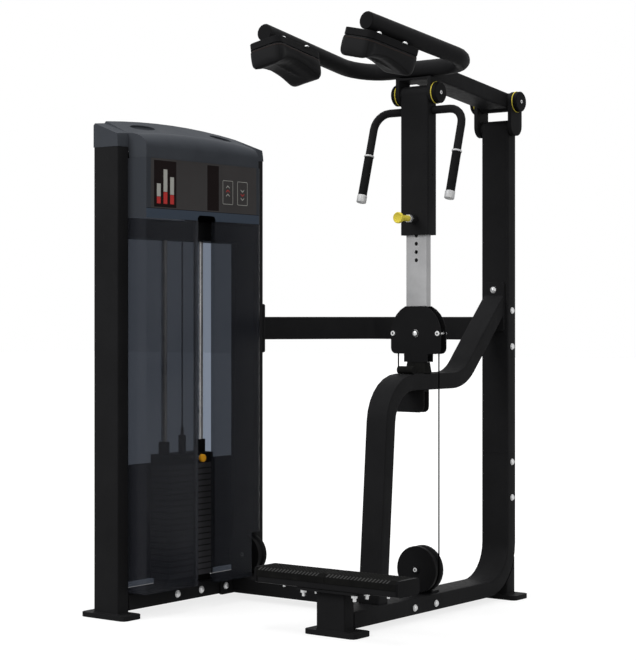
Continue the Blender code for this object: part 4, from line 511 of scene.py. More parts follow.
class Shape:
    """Collects closed bodies in one mesh."""

    def __init__(self):
        self.mesh = bmesh.new()

    def corners(self, pose, places):
        return [self.mesh.verts.new(pose @ Vector(place)) for place in places]

    def turned(self, pose, rows, steps=ROUND_STEPS, dark_after=None):
        """Body turned about the pose's Z. A row is (height, radius) or (height, radius, sides)."""
        angles = [2 * math.pi * step / steps for step in range(steps)]
        rings = []
        for height, radius, *sides in rows:
            places = [(0.0, 0.0, height)]
            if radius:
                reaches = [radius * sides_factor(angle, *sides) for angle in angles]
                places = [(reach * math.cos(angle), reach * math.sin(angle), height)
                          for angle, reach in zip(angles, reaches)]
            rings.append(self.corners(pose, places))
        for index, (low, high) in enumerate(zip(rings, rings[1:])):
            self.join(low, high, 1 if dark_after is not None and index >= dark_after else 0)
        return rings

    def join(self, low, high, paint=0):
        """Faces between two rings, of which one may be a single point."""
        steps = max(len(low), len(high))
        for step in range(steps):
            after = (step + 1) % steps
            corners = (low[step % len(low)], low[after % len(low)],
                       high[after % len(high)], high[step % len(high)])
            self.mesh.faces.new(list(dict.fromkeys(corners))).material_index = paint

    def ring(self, pose, rows, steps=ROUND_STEPS):
        """Ring turned about the pose's Z, from a closed section of (height, radius) rows."""
        rings = self.turned(pose, rows, steps)
        self.join(rings[-1], rings[0])

    def eased_ring(self, pose, low, high, bore, radius, ease, steps=ROUND_STEPS):
        """Ring between two heights. Its outer edges are eased by (height, radius)."""
        rise, drop = ease
        self.ring(pose, ((low, bore), (low, radius - drop), (low + rise, radius), (high - rise, radius),
                         (high, radius - drop), (high, bore)), steps)

    def slab(self, pose, outline, thickness):
        """Flat outline pushed out along the pose's Z."""
        low = self.corners(pose, [(x, y, 0.0) for x, y in outline])
        high = self.corners(pose, [(x, y, thickness) for x, y in outline])
        self.mesh.faces.new(low[::-1])
        self.mesh.faces.new(high)
        self.join(low, high)

    def tube(self, points, radius, loop=True, ripple=0.0):
        """Tube through the points, as a closed loop or with two capped ends."""
        count = len(points)
        turns = [2 * math.pi * step / TUBE_STEPS for step in range(TUBE_STEPS)]
        rings = []
        for index, point in enumerate(points):
            before = index - 1 if loop or index else 0
            after = (index + 1) % count if loop else min(index + 1, count - 1)
            along = (points[after] - points[before]).normalized()
            side = along.cross(Vector((0.0, 0.0, 1.0))).normalized()
            up = side.cross(along)
            reach = radius * (1.0 + ripple * (index % 2))
            places = [point + reach * (math.cos(turn) * side + math.sin(turn) * up) for turn in turns]
            rings.append([self.mesh.verts.new(place) for place in places])
        for low, high in zip(rings, rings[1:] + (rings[:1] if loop else [])):
            self.join(low, high)
        if not loop:
            self.mesh.faces.new(rings[0])
            self.mesh.faces.new(rings[-1])

    def finish(self, name, body, slot, *materials, smooth=35.0, stands_for=None):
        """Makes the object, with faces out and smooth shading up to an angle."""
        bmesh.ops.recalc_face_normals(self.mesh, faces=self.mesh.faces)
        mesh = bpy.data.meshes.new(name)
        self.mesh.to_mesh(mesh)
        self.mesh.free()
        mesh.shade_smooth()
        mesh.set_sharp_from_angle(angle=math.radians(smooth))
        for material in materials:
            mesh.materials.append(material)
        piece = new_object(name, mesh)
        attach(piece, body)
        if stands_for is not None:
            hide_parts(stands_for)
        return piece


def rounded_outline(width, height, radius, steps=5):
    """Rounded rectangle about the origin."""
    points = []
    for across, up, start in ((1, 1, 0), (-1, 1, 90), (-1, -1, 180), (1, -1, 270)):
        centre = (across * (width / 2 - radius), up * (height / 2 - radius))
        for step in range(steps + 1):
            angle = math.radians(start + 90 * step / steps)
            points.append((centre[0] + radius * math.cos(angle), centre[1] + radius * math.sin(angle)))
    return points


def dense_outline(width, length, radius, spacing=0.004):
    """Rounded rectangle with points every few millimetres."""
    outline = rounded_outline(width, length, radius, 10)
    points = []
    for (x1, y1), (x2, y2) in zip(outline, outline[1:] + outline[:1]):
        steps = max(1, round(math.hypot(x2 - x1, y2 - y1) / spacing))
        points += [(x1 + (x2 - x1) * step / steps, y1 + (y2 - y1) * step / steps) for step in range(steps)]
    return points


def dome_rows(height, radius, start, steps=6):
    """Rows of a flattened dome from its rim to its crown."""
    angles = [math.pi / 2 * step / steps for step in range(steps)]
    rows = [(start + height * math.sin(angle), radius * math.cos(angle)) for angle in angles]
    return [*rows, (start + height, 0.0)]


def add_dome_bolt(shape, place, direction, size=1.0):
    """Washer and cap nut."""
    rows = [(0.0014, 0.0115), (0.0018, 0.0112), (0.0018, 0.0094), (0.0038, 0.0094)]
    rows = [(height * size, radius * size) for height, radius in rows + dome_rows(0.0040, 0.0092, 0.0040)]
    shape.turned(facing(place, direction), [(-SINK, 0.0), (-SINK, 0.0112 * size), *rows])


def add_hex_nut(shape, place, radius, height, shank, reach):
    """Washer, hexagon nut and the end of its bolt, hanging down."""
    edge = 0.0008
    washer_t = 0.0016
    washer_r = radius + 0.0012
    rows = [(-SINK, 0.0), (-SINK, washer_r), (washer_t, washer_r), (washer_t, radius * 0.9),
            (washer_t, radius - edge, 6), (washer_t + edge, radius, 6), (height - edge, radius, 6),
            (height, radius - edge, 6), (height, shank), (reach - edge, shank), (reach, shank - edge),
            (reach, 0.0)]
    shape.turned(facing(place, (0, 0, -1)), rows)


def add_socket_bolt(shape, place, direction, radius, height, socket):
    """Low round head with a hexagon socket, whose recess faces take a dark material as painted shade."""
    edge = min(0.0006, height / 3)
    floor = height * 0.25
    rows = [(-SINK, 0.0), (-SINK, radius), (height - edge, radius), (height, radius - edge),
            (height, socket + 0.0003), (height, socket, 6), (floor, socket * 0.96, 6), (floor, 0.0)]
    shape.turned(facing(place, direction), rows, dark_after=5)


# Carried-over pieces
JOIN_REACH = 0.00001  # how near the loaded triangles' corners lie that are one corner
CRISP_ANGLE = 31.0  # an edge above this angle stays crisp


def crisp_edges():
    """Node group that joins the loaded triangles and shades them smooth except at real edges."""
    group = bpy.data.node_groups.new("crisp_edges", "GeometryNodeTree")
    for way in ("INPUT", "OUTPUT"):
        group.interface.new_socket("Geometry", in_out=way, socket_type="NodeSocketGeometry")
    made = Nodes(group)
    start = made.node("NodeGroupInput").outputs[0]
    joined = made.node("GeometryNodeMergeByDistance", {"Geometry": start, "Distance": JOIN_REACH})
    angle = made.node("GeometryNodeInputMeshEdgeAngle").outputs["Unsigned Angle"]
    limits = {"A": angle, "B": math.radians(CRISP_ANGLE)}
    flat = made.node("FunctionNodeCompare", limits, data_type="FLOAT", operation="LESS_EQUAL")
    faces = made.node("GeometryNodeSetShadeSmooth", {"Geometry": joined.outputs["Geometry"]}, domain="FACE")
    shading = {"Geometry": faces.outputs["Geometry"], "Shade Smooth": flat.outputs["Result"]}
    edges = made.node("GeometryNodeSetShadeSmooth", shading, domain="EDGE")
    made.node("NodeGroupOutput", {0: edges.outputs["Geometry"]})
    return group


def ease_edges(piece, width, angle):
    bevel = piece.modifiers.new("eased_edges", "BEVEL")
    bevel.width = width
    bevel.segments = 2
    bevel.limit_method = "ANGLE"
    bevel.angle_limit = math.radians(angle)
    return bevel


def dress(piece, material, group, ease=0.0):
    """Gives a carried-over piece its finish, smooth shading and slightly eased edges."""
    piece.material_slots[0].material = material
    custom = piece.data.attributes.get("custom_normal")
    if custom is not None:
        piece.data.attributes.remove(custom)
    piece.modifiers.new("crisp_edges", "NODES").node_group = group
    if ease:
        ease_edges(piece, ease, 50.0).harden_normals = True
    piece.modifiers.new("even_shading", "WEIGHTED_NORMAL").keep_sharp = True


def dress_frame():
    """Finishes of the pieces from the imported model, with how far their edges are eased."""
    group = crisp_edges()
    plastic = moulded_plastic("black_plastic", (22, 22, 23), 0.46)
    nylon = moulded_plastic("pulley_nylon", (27, 27, 28), 0.42)
    hood = moulded_plastic("hood_plastic", (64, 67, 72), 0.55)
    knob = moulded_plastic("amber_knob", (235, 165, 40), 0.35, steel_behind=KNOB_REAR_X)
    for names, material, *ease in (
            ("front_column step_beam base_beam rear_foot upper_upright brace link_beam crossbar "
             "tower_front_post tower_rear_post tower_base_beam tower_top_beam anchor_bracket "
             "main_pulley_bracket tower_pulley_bracket lever_arm shoulder_bar front_clevis outer_post "
             "handle_left handle_right head_plate", powder_coat(), 0.0006),
            ("pulley_block", block_coat(), 0.0005),
            ("inner_post", bright_steel("plated_post", 160, 0.42, 0.35), 0.0004),
            ("pad_board_left pad_board_right", powder_coat("board_paint", 26), 0.0008),
            ("step_cap_left step_cap_right post_bush rear_pivot_pin front_pivot_pin grip_left grip_right "
             "pull_pin tread_left tread_right", plastic),
            ("rest_bumper stop_buffer stack_cushion", rubber("block_rubber", 24)),
            ("guide_rod_front guide_rod_rear", bright_steel("bright_steel")),
            ("weight_stack", plate_coat()),
            ("hood", hood),
            ("shroud_left shroud_right", smoked_front()),
            ("shroud_back", smoked_back("smoked_back", True)),
            ("placard", placard_print()),
            ("block_pulley main_low_pulley tower_low_pulley top_pulley_front top_pulley_rear", nylon),
            ("cable_fixed_run cable_wrap", cable_coat()),
            ("selector_pin", knob)):
        for name in names.split():
            dress(nodes[name], material, group, *ease)


# Small fittings
def add_frame_bolts(zinc):
    """Cap nuts and hexagon nuts that hold the frame together."""
    shape = Shape()
    link_left, link_right = (corner.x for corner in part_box("link_beam"))
    for x, places in ((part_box("tower_base_beam")[1].x, TOWER_BOLT_Y), (link_left + FLANGE_T, LINK_BOLT_Y)):
        for y in places:
            add_dome_bolt(shape, (x, y, BEAM_BOLT_Z), (1, 0, 0))
    small = [((0.0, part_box("brace")[1].y - FLANGE_T, z), (0, -1, 0)) for z in BRACE_BOLT_Z]
    for y, z in BEAM_SIDE_BOLTS:
        small += [((TUBE_SIDE_X, y, z), (1, 0, 0)), ((link_right - FLANGE_T, y, z), (-1, 0, 0))]
    for z in SPLICE_BOLT_Z:
        small += [((side * TUBE_SIDE_X, UPRIGHT_Y, z), (side, 0, 0)) for side in (1, -1)]
    low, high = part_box("crossbar")
    for z in CROSSBAR_BOLT_Z:
        small += [((TUBE_SIDE_X, UPRIGHT_Y, z), (1, 0, 0)), ((high.x - FLANGE_T, UPRIGHT_Y, z), (-1, 0, 0)),
                  ((CROSSBAR_TOWER_X, low.y + FLANGE_T, z), (0, 1, 0))]
    for place, direction in small:
        add_dome_bolt(shape, place, direction, 0.9)
    for side in (-1, 1):
        for y in (-COLUMN_NUT_Y, COLUMN_NUT_Y):
            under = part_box("front_column")[1].z - FLANGE_T
            add_hex_nut(shape, (side * COLUMN_NUT_X, y, under), 0.0098, 0.0085, 0.0052, 0.0190)
        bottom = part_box("step_beam")[0].z
        add_hex_nut(shape, (side * STEP_NUT_X, 0.0, bottom), 0.0085, 0.0065, 0.0045, 0.0125)
    shape.finish("frame_bolts", "frame", "guide_rod_front", zinc)


def add_pivot_trim(zinc, socket, yellow):
    """Yellow rings behind the pivot caps and the bolts in their faces."""
    for name, centre, body in (("front", FRONT_PIVOT, "outer_post"), ("rear", REAR_PIVOT, "frame")):
        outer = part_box(name + "_pivot_pin")[1].x
        rings = Shape()
        bolts = Shape()
        for side in (-1, 1):
            pose = facing((side * (outer - PIVOT_CAP_T), *centre), (side, 0, 0))
            rings.eased_ring(pose, 0.0004, 0.0032, 0.0318, 0.0336, (0.0006, 0.0006), 64)
            add_socket_bolt(bolts, (side * outer, *centre), (side, 0, 0), 0.0056, 0.0014, 0.0028)
        rings.finish(name + "_pivot_rings", body, "pull_pin", yellow)
        bolts.finish(name + "_pivot_bolts", body, "guide_rod_front", zinc, socket)


def add_handle_grips(grip, satin):
    """Foam grip, ring at its top and bright end cap at its foot, along each handle's end."""
    rise = Vector((0.0, HANDLE_Y - HANDLE_END[0], HANDLE_Z - HANDLE_END[1])).normalized()
    for side, name in ((-1, "left"), (1, "right")):
        pose = facing((side * HANDLE_HALF, *HANDLE_END), rise)
        foam = Shape()
        foam.eased_ring(pose, GRIP_CAP + 0.0003, GRIP_TOP - 0.0003, GRIP_BORE, GRIP_R,
                        (0.0012, GRIP_R - GRIP_FOOT_R))
        node = "grip_" + name
        foam.finish("foam_" + node, "outer_post", node, grip, stands_for=node)
        collar = Shape()
        collar.eased_ring(pose, GRIP_TOP, GRIP_TOP + COLLAR_T, GRIP_BORE, COLLAR_R, (0.0008, 0.0008))
        collar.finish("grip_collar_" + name, "outer_post", "guide_rod_front", satin)
        cap = Shape()
        rows = [(-CAP_T, 0.0), (-CAP_T, 0.0110), (0.0008 - CAP_T, 0.0142), (0.0024 - CAP_T, CAP_R),
                (GRIP_CAP - 0.0010, CAP_R), (GRIP_CAP, 0.0144), (GRIP_CAP, GRIP_BORE),
                (-0.0006, GRIP_BORE), (-0.0006, 0.0)]
        cap.turned(pose, rows)
        cap.finish("grip_end_" + name, "outer_post", "guide_rod_front", satin)


def add_pull_knob(yellow, zinc):
    """Dished yellow knob on its steel pin, and the lock nut on the boss."""
    low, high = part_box("pull_pin")
    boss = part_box("outer_post")[0].y
    pose = facing((0.0, low.y, KNOB_Z), (0, 1, 0))
    neck = boss - NUT_T - 0.0012 - low.y
    tip = high.y - low.y - 0.0004
    knob = Shape()
    rows = [(0.0032, 0.0), (0.0032, 0.0095), (0.0012, 0.0128), (0.0, 0.0146), (0.0004, 0.0160),
            (0.0024, 0.0170), (0.0080, 0.0170), (0.0120, 0.0156), (0.0160, 0.0118), (0.0200, 0.0094),
            (neck - 0.0080, 0.0088), (neck - 0.0012, 0.0098), (neck, 0.0090), (neck, 0.0)]
    knob.turned(pose, rows)
    knob.finish("pull_knob", "pull_pin", "pull_pin", yellow)
    pin = Shape()
    pin.turned(pose, [(neck - 0.0010, 0.0), (neck - 0.0010, PIN_R), (tip - 0.0010, PIN_R),
                      (tip, PIN_R - 0.0010), (tip, 0.0)])
    pin.finish("pull_pin_shaft", "pull_pin", "guide_rod_front", zinc, stands_for="pull_pin")
    nut = Shape()
    rows = [(0.0002, NUT_BORE), (0.0002, NUT_R, 6), (NUT_T - 0.0007, NUT_R, 6),
            (NUT_T, NUT_R - 0.0008, 6), (NUT_T, NUT_BORE)]
    nut.ring(facing((0.0, boss, KNOB_Z), (0, -1, 0)), rows)
    nut.finish("pin_lock_nut", "outer_post", "guide_rod_front", zinc)


def add_pulley_bolts(zinc, socket):
    """Bolt heads on the pulley block and in the faces of the low pulleys."""
    shape = Shape()
    low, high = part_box("pulley_block")
    for plane, out, crown in ((low.y + BLOCK_HEAD_T, -1, 0.0045), (high.y - BLOCK_HEAD_T, 1, 0.0040)):
        rows = [(-SINK, 0.0), (-SINK, 0.0112), (0.0012, 0.0114), (0.0014, 0.0095)]
        shape.turned(facing((0.0, plane, BLOCK_Z), (0, out, 0)), rows + dome_rows(crown, 0.0092, 0.0022))
        for side in (-1, 1):
            place = (side * SPACER_X, plane, BLOCK_Z)
            add_socket_bolt(shape, place, (0, out, 0), 0.0075, 0.0046, 0.0034)
    shape.finish("block_bolts", "telescope", "guide_rod_front", zinc, socket)
    axles = Shape()
    for bracket, (x, z) in (("main_pulley_bracket", MAIN_PULLEY), ("tower_pulley_bracket", TOWER_PULLEY)):
        add_socket_bolt(axles, (x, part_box(bracket)[0].y, z), (0, -1, 0), 0.0066, 0.0012, 0.0034)
    axles.finish("axle_bolts", "frame", "guide_rod_front", zinc, socket)


def add_pad_nuts(zinc):
    """Cap nuts on each pad's board, on both sides of the bar."""
    shape = Shape()
    for side in (-1, 1):
        pose = pad_pose(side)
        for across, along in PAD_NUTS:
            place = pose @ Vector((side * across, along, BOARD_T + PAD_NUT_LIFT))
            add_dome_bolt(shape, place, pose.to_3x3() @ Vector((0, 0, 1)), 0.72)
    shape.finish("pad_nuts", "lever", "guide_rod_front", zinc)


def add_bar_caps(plastic):
    """Flat closed caps in the two ends of the shoulder bar."""
    shape = Shape()
    points = points_of(nodes["shoulder_bar"].data)
    for side in (-1, 1):
        half = points[points[:, 0] * side > 0.0]
        tip = half[half[:, 1] < half[:, 1].min() + BAR_END_REACH]
        middle = Vector((tip.min(axis=0) + tip.max(axis=0)) / 2)
        out = Vector((side * (BAR_FRONT_X - BAR_REAR_X), BAR_FRONT_Y - BAR_REAR_Y,
                      BAR_SLOPE * (BAR_REAR_Y - BAR_FRONT_Y)))
        shape.turned(facing(middle, out.normalized()),
                     [(-0.002, 0.0), (-0.002, 0.0235), (0.0006, 0.0236), (0.0016, 0.0226), (0.0016, 0.0)])
    shape.finish("bar_end_caps", "lever", "shoulder_bar", plastic)


def add_back_foot(smoked):
    """Lower edge of the back sheet, down to the base beam."""
    low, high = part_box("shroud_back")
    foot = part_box("tower_base_beam")[1].z + SINK
    top = low.z - 0.0001
    front = low.y + BACK_FOOT_INSET
    rear = high.y - BACK_FOOT_INSET
    shape = Shape()
    outline = [(front, foot), (rear, foot), (rear, top), (front, top)]
    shape.slab(upright_plane(low.x), outline, high.x - low.x)
    shape.finish("back_sheet_foot", "frame", "shroud_back", smoked)


def add_weld_beads(material):
    """Rippled weld beads where tubes stand on their foot plates and under the step flange."""
    shape = Shape()
    outline = dense_outline(TUBE_WIDE + 0.0008, TUBE_NARROW + 0.0008, WELD_CORNER, WELD_STEP)
    for x, y, z in WELDS:
        shape.tube([Vector((x + across, y + along, z)) for across, along in outline], WELD_R, ripple=0.22)
    shape.finish("weld_beads", "frame", "front_column", material, smooth=60.0)


def add_post_hole_shade(plastic):
    """Small dark disc on the outer post's side, painted shade standing in for a small hole."""
    shape = Shape()
    shape.turned(facing((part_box("outer_post")[1].x - SINK, *HOLE_SHADE_AT), (1, 0, 0)),
                 [(-SINK, 0.0), (-SINK, 0.0028), (0.0004, 0.0026), (0.0004, 0.0)], 20)
    shape.finish("post_hole_shade", "outer_post", "outer_post", plastic)


# Cables
def add_cables(coat):
    """Straight cable runs. Nested tubes on both ends' bodies cover the length that a run gains."""
    piece, low, high, middle = cable_run("stack_cable", "stack_lift", "cable_stack_run", 0, coat)
    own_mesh(piece)
    for name, body, node, nest in (("lift_cable", "telescope", "cable_lift_run", 0),
                                   ("lift_cable_low", "frame", "cable_lift_run", 1),
                                   ("anchor_cable", "telescope", "cable_anchor_run", 0),
                                   ("anchor_cable_middle", "outer_post", "cable_anchor_run", 1),
                                   ("anchor_cable_low", "frame", "cable_anchor_run", 2)):
        piece, low, high, middle = cable_run(name, body, node, nest, coat)
        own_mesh(piece)


def cable_run(name, body, node, nest, coat):
    """Tube down the middle of a packed run, with a radius for its step in the nest."""
    low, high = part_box(node)
    middle = (low + high) / 2
    radius = CABLE_R - nest * NEST
    top = high.z + (ANCHOR_RUN_OVER if nest == 2 else 0.0)
    shape = Shape()
    shape.turned(Matrix.Translation((middle.x, middle.y, 0.0)),
                 [(low.z, 0.0), (low.z, radius), (top, radius), (top, 0.0)], 12)
    stands_for = node if nest == 0 else None
    return shape.finish(name, body, "cable_fixed_run", coat, stands_for=stands_for), low, high, middle


# Treads and placard
def add_treads(material, wear_and_rib_highlight):
    """Rubber treads with sloped long edges, lozenges on top and slanted ribs on the slopes, whose rubber is
    painted lighter as a highlight where light falls on the slopes.
    """
    for side in ("left", "right"):
        node = "tread_" + side
        low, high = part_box(node)
        top = high.z - TREAD_T
        shoulder = high.z - TREAD_SLOPE
        section = [(low.y, low.z), (low.y + TREAD_LIP_T, low.z), (low.y + TREAD_LIP_T, top),
                   (high.y - TREAD_LIP_T, top), (high.y - TREAD_LIP_T, low.z), (high.y, low.z),
                   (high.y, shoulder), (high.y - TREAD_SLOPE, high.z), (low.y + TREAD_SLOPE, high.z),
                   (low.y, shoulder)]
        cover = Shape()
        cover.slab(upright_plane(low.x), section, high.x - low.x)
        piece = cover.finish("tread_cover_" + side, "frame", node, material, smooth=20.0, stands_for=node)
        ease_edges(piece, 0.0010, 35.0)
        # the ribs take the lighter rubber, a painted highlight where light falls on the slopes
        for kind, add_relief, finish in (("studs", add_lozenges, material), ("ribs", add_slope_ribs, wear_and_rib_highlight)):
            relief = Shape()
            add_relief(relief, low, high)
            relief.finish("tread_" + kind + "_" + side, "frame", node, finish, smooth=20.0)


def add_lozenges(shape, low, high):
    """Staggered flat-topped lozenges over the tread's top."""
    half = STUD_PITCH * 0.42
    margin = TREAD_SLOPE + 0.002
    row_pitch = STUD_PITCH / 2
    rows = int((high.y - low.y - 2 * margin) / row_pitch)
    columns = int((high.x - low.x - 2 * STUD_EDGE) / STUD_PITCH)
    left = (low.x + high.x - (columns - 1) * STUD_PITCH) / 2
    front = (low.y + high.y - (rows - 1) * row_pitch) / 2
    section = [(-0.0002, 0.0), (-0.0002, half), (0.0005, half * 0.8), (0.0009, half * 0.5), (0.0009, 0.0)]
    for row in range(rows):
        odd = row % 2
        for column in range(columns - odd):
            x = left + (column + odd / 2) * STUD_PITCH
            shape.turned(Matrix.Translation((x, front + row * row_pitch, high.z)), section, 4)


def add_slope_ribs(shape, low, high):
    """Slanted ribs along both sloped edges."""
    run = TREAD_SLOPE * math.sqrt(2.0) - 0.0024
    count = int((high.x - low.x - run - 0.003) / STUD_PITCH)
    outline = [(0.0, 0.0), (RIB_W, 0.0), (RIB_W + run * 0.6, run), (run * 0.6, run)]
    across = Vector((1.0, 0.0, 0.0))
    for side, edge in ((-1, low.y), (1, high.y)):
        up = Vector((0.0, -side, 1.0)).normalized()
        out = Vector((0.0, side, 1.0)).normalized()
        foot = Vector((low.x + 0.0015, edge, high.z - TREAD_SLOPE)) + up * 0.0012 - out * 0.0002
        turn = Matrix((across, up, out)).transposed().to_4x4()
        for index in range(count):
            pose = Matrix.Translation(foot + across * (index + 0.3) * STUD_PITCH) @ turn
            shape.slab(pose, outline, RIB_T)


def add_placard_marks(light, dark, red):
    """Plain picture of two dark blocks, three bars on one of them and two framed arrows."""
    face = upright_plane(PLACARD_FACE_X)

    def box(shape, left, right, low, high, thickness):
        shape.slab(face, ((left, low), (right, low), (right, high), (left, high)), thickness)

    blocks = Shape()
    for left, right in PLACARD_BLOCKS:
        box(blocks, left, right, BAND_TOP + 0.0045, PLACARD_TOP - 0.006, 0.0002)
    blocks.finish("placard_blocks", "frame", "placard", dark)
    marks = Shape()
    accents = Shape()
    for index, height in enumerate(BAR_HEIGHTS):
        left = BAR_FIRST_Y + index * BAR_PITCH
        middle = BAR_FOOT_Z + height * 0.34
        box(marks, left, left + BAR_WIDTH, middle + 0.0010, BAR_FOOT_Z + height, 0.0004)
        box(accents, left, left + BAR_WIDTH, BAR_FOOT_Z, middle, 0.0004)
    for centre, up in zip(ARROW_Y, (1, -1)):
        add_border(marks, face @ Matrix.Translation((centre, ARROW_Z, 0.0)))
        for step in (-1, 0, 1):
            place = face @ Matrix.Translation((centre, ARROW_Z + step * ARROW_STEP, 0.0))
            add_chevron(marks if step else accents, place, up)
    marks.finish("placard_marks", "frame", "placard", light)
    accents.finish("placard_accents", "frame", "placard", red)


def add_border(shape, pose):
    """Flat rounded frame round an arrow."""
    outer = rounded_outline(ARROW_SIZE, ARROW_SIZE * 1.5, 0.004)
    inner = rounded_outline(ARROW_SIZE - ARROW_LINE, ARROW_SIZE * 1.5 - ARROW_LINE, 0.0028)
    rings = []
    for outline, height in ((inner, -0.0001), (inner, MARK_T), (outer, MARK_T), (outer, -0.0001)):
        rings.append(shape.corners(pose, [(x, y, height) for x, y in outline]))
    for low, high in zip(rings, rings[1:] + rings[:1]):
        shape.join(low, high)


def add_chevron(shape, pose, up):
    """One arrow head of two slanted strokes."""
    half, rise = (0.0085, 0.0065)
    outline = [(-half, 0.0), (0.0, rise), (half, 0.0), (half, ARROW_LINE), (0.0, rise + ARROW_LINE),
               (-half, ARROW_LINE)]
    shape.slab(pose, [(x, up * y) for x, y in outline], MARK_T)


# Cushions
PAD_PLACE = (0.1696, -0.0135, 1.6663)  # middle of the right pad's seam plane
PAD_TURN = (-7.7, 12.6, -3.3)  # pitch, roll and yaw of the right pad in degrees
PAD_HALF = (PAD_WIDTH / 2, PAD_LENGTH / 2, 0.030)
PAD_FLAT = 0.0020  # depth of the flat top that keeps its height
PAD_HELD = 0.0060  # depth of the top that the board holds
PAD_SHRINK = 0.0010  # how much smaller the cushion starts
PAD_SWELL = 0.0028  # how far a point may move as the cushion fills
PAD_VOXEL = 0.0040
FILL_STEPS = 20
CLOTH = {"quality": 6, "mass": 0.3, "tension_stiffness": 12.0, "compression_stiffness": 12.0,
         "shear_stiffness": 8.0, "bending_stiffness": 2.0, "use_pressure": True,
         "uniform_pressure_force": 4.0, "vertex_group_mass": "held"}
SEAM_DROP = 0.0075  # seam line below the board
UPPER_SEAM_R = 0.0007
SOLE_INSET = 0.013  # how much smaller than the pad the seam round its sole is
SOLE_SEAM_R = 0.0008


def pad_pose(side):
    """Pose of one pad's seam plane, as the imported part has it."""
    pitch, roll, yaw = (math.radians(angle) for angle in PAD_TURN)
    turn = Matrix.Rotation(side * yaw, 4, "Z") @ Matrix.Rotation(pitch, 4, "X")
    turn = turn @ Matrix.Rotation(side * roll, 4, "Y")
    return Matrix.Translation((side * PAD_PLACE[0], *PAD_PLACE[1:])) @ turn


def solid_copy(node, name):
    """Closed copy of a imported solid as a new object."""
    made = bmesh.new()
    made.from_mesh(nodes[node].data)
    bmesh.ops.remove_doubles(made, verts=made.verts, dist=JOIN_REACH)
    mesh = bpy.data.meshes.new(name)
    made.to_mesh(mesh)
    made.free()
    return new_object(name, mesh)


def apply_modifiers(piece):
    """Keeps what the piece's modifiers show as its own mesh."""
    graph = bpy.context.evaluated_depsgraph_get()
    shown = bpy.data.meshes.new_from_object(piece.evaluated_get(graph))
    piece.modifiers.clear()
    piece.data = shown


def points_of(mesh):
    flat = np.empty(len(mesh.vertices) * 3)
    mesh.vertices.foreach_get("co", flat)
    return flat.reshape(-1, 3)


def fill_cushion(piece, pose):
    """Swells the cover with cloth under pressure, holding its flat top on the board."""
    inverse = np.array(pose.inverted())
    start = points_of(piece.data)
    local = start @ inverse[:3, :3].T + inverse[:3, 3]
    held = piece.vertex_groups.new(name="held")
    for index in np.nonzero(local[:, 2] > -PAD_HELD)[0]:
        held.add([int(index)], 1.0, "REPLACE")
    cloth = piece.modifiers.new("cloth", "CLOTH")
    for name, value in CLOTH.items():
        setattr(cloth.settings, name, value)
    cloth.settings.effector_weights.gravity = 0.0
    cloth.collision_settings.use_collision = False
    cloth.point_cache.frame_start = 1
    cloth.point_cache.frame_end = FILL_STEPS
    for step in range(1, FILL_STEPS + 1):
        scene.frame_set(step)
    apply_modifiers(piece)
    moved = points_of(piece.data) - start
    length = np.linalg.norm(moved, axis=1, keepdims=True)
    capped = moved * np.minimum(1.0, PAD_SWELL / np.maximum(length, 1e-9))
    piece.data.vertices.foreach_set("co", (start + capped).ravel())
    piece.data.update()
    piece.vertex_groups.clear()
    scene.frame_set(1)


def build_cushion(side, name, node, material):
    """One shoulder cushion: a stuffed cover on its board."""
    pose = pad_pose(side)
    piece = solid_copy(node, name)
    inverse = pose.inverted()
    middle = Vector((0.0, 0.0, -PAD_HALF[2]))
    for vertex in piece.data.vertices:
        local = inverse @ vertex.co
        for axis in range(3):
            if axis == 2 and local.z > -PAD_FLAT:
                continue
            share = (local[axis] - middle[axis]) / PAD_HALF[axis]
            local[axis] -= PAD_SHRINK * max(-1.0, min(1.0, share))
        vertex.co = pose @ local
    remesh = piece.modifiers.new("remesh", "REMESH")
    remesh.mode = "VOXEL"
    remesh.voxel_size = PAD_VOXEL
    apply_modifiers(piece)
    fill_cushion(piece, pose)
    piece.data.shade_smooth()
    soften = piece.modifiers.new("soften", "SMOOTH")
    soften.factor = 0.5
    soften.iterations = 5
    finer = piece.modifiers.new("finer", "SUBSURF")
    finer.levels = 1
    finer.render_levels = 1
    piece.data.materials.clear()
    piece.data.materials.append(material)
    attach(piece, "lever")
    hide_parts(node)
    return piece


def add_seams(side, name, cushion, thread, welt):
    """Seams laid on the cover's own surface: under the board, round the sole and down the corners."""
    tree = BVHTree.FromObject(cushion, bpy.context.evaluated_depsgraph_get())
    pose = pad_pose(side)
    turn = pose.to_3x3()

    def laid(rays, lift=0.0):
        """Places where rays in the pad's own frame meet the cover."""
        hits = [tree.ray_cast(pose @ start, turn @ direction)[:2] for start, direction in rays]
        return [place + normal * lift for place, normal in hits if place is not None]

    upper = Shape()
    outline = dense_outline(PAD_WIDTH + 0.02, PAD_LENGTH + 0.02, PAD_CORNER + 0.01)
    rays = [(Vector((x, y, -SEAM_DROP)), Vector((-x, -y, 0.0)).normalized()) for x, y in outline]
    upper.tube(laid(rays, 0.0001), UPPER_SEAM_R)
    upper.finish("board_seam_" + name, "lever", "shoulder_pad_" + name, thread)

    lower = Shape()
    outline = dense_outline(PAD_WIDTH - SOLE_INSET, PAD_LENGTH - SOLE_INSET, PAD_CORNER)
    lower.tube(laid([(Vector((x, y, -0.12)), Vector((0.0, 0.0, 1.0))) for x, y in outline]), SOLE_SEAM_R)
    for across, along in ((-1, -1), (-1, 1), (1, -1), (1, 1)):
        out = Vector((across, along, 0.0)).normalized()
        inner = Vector((across * (PAD_WIDTH / 2 - PAD_CORNER), along * (PAD_LENGTH / 2 - PAD_CORNER), 0.0))
        depths = [SEAM_DROP + 0.003 + 0.0036 * step for step in range(12)]
        line = laid([(inner + out * 0.06 - Vector((0.0, 0.0, depth)), -out) for depth in depths])
        if len(line) > 2:
            lower.tube(line, SOLE_SEAM_R * 0.8, loop=False)
    lower.finish("cover_seams_" + name, "lever", "shoulder_pad_" + name, welt)


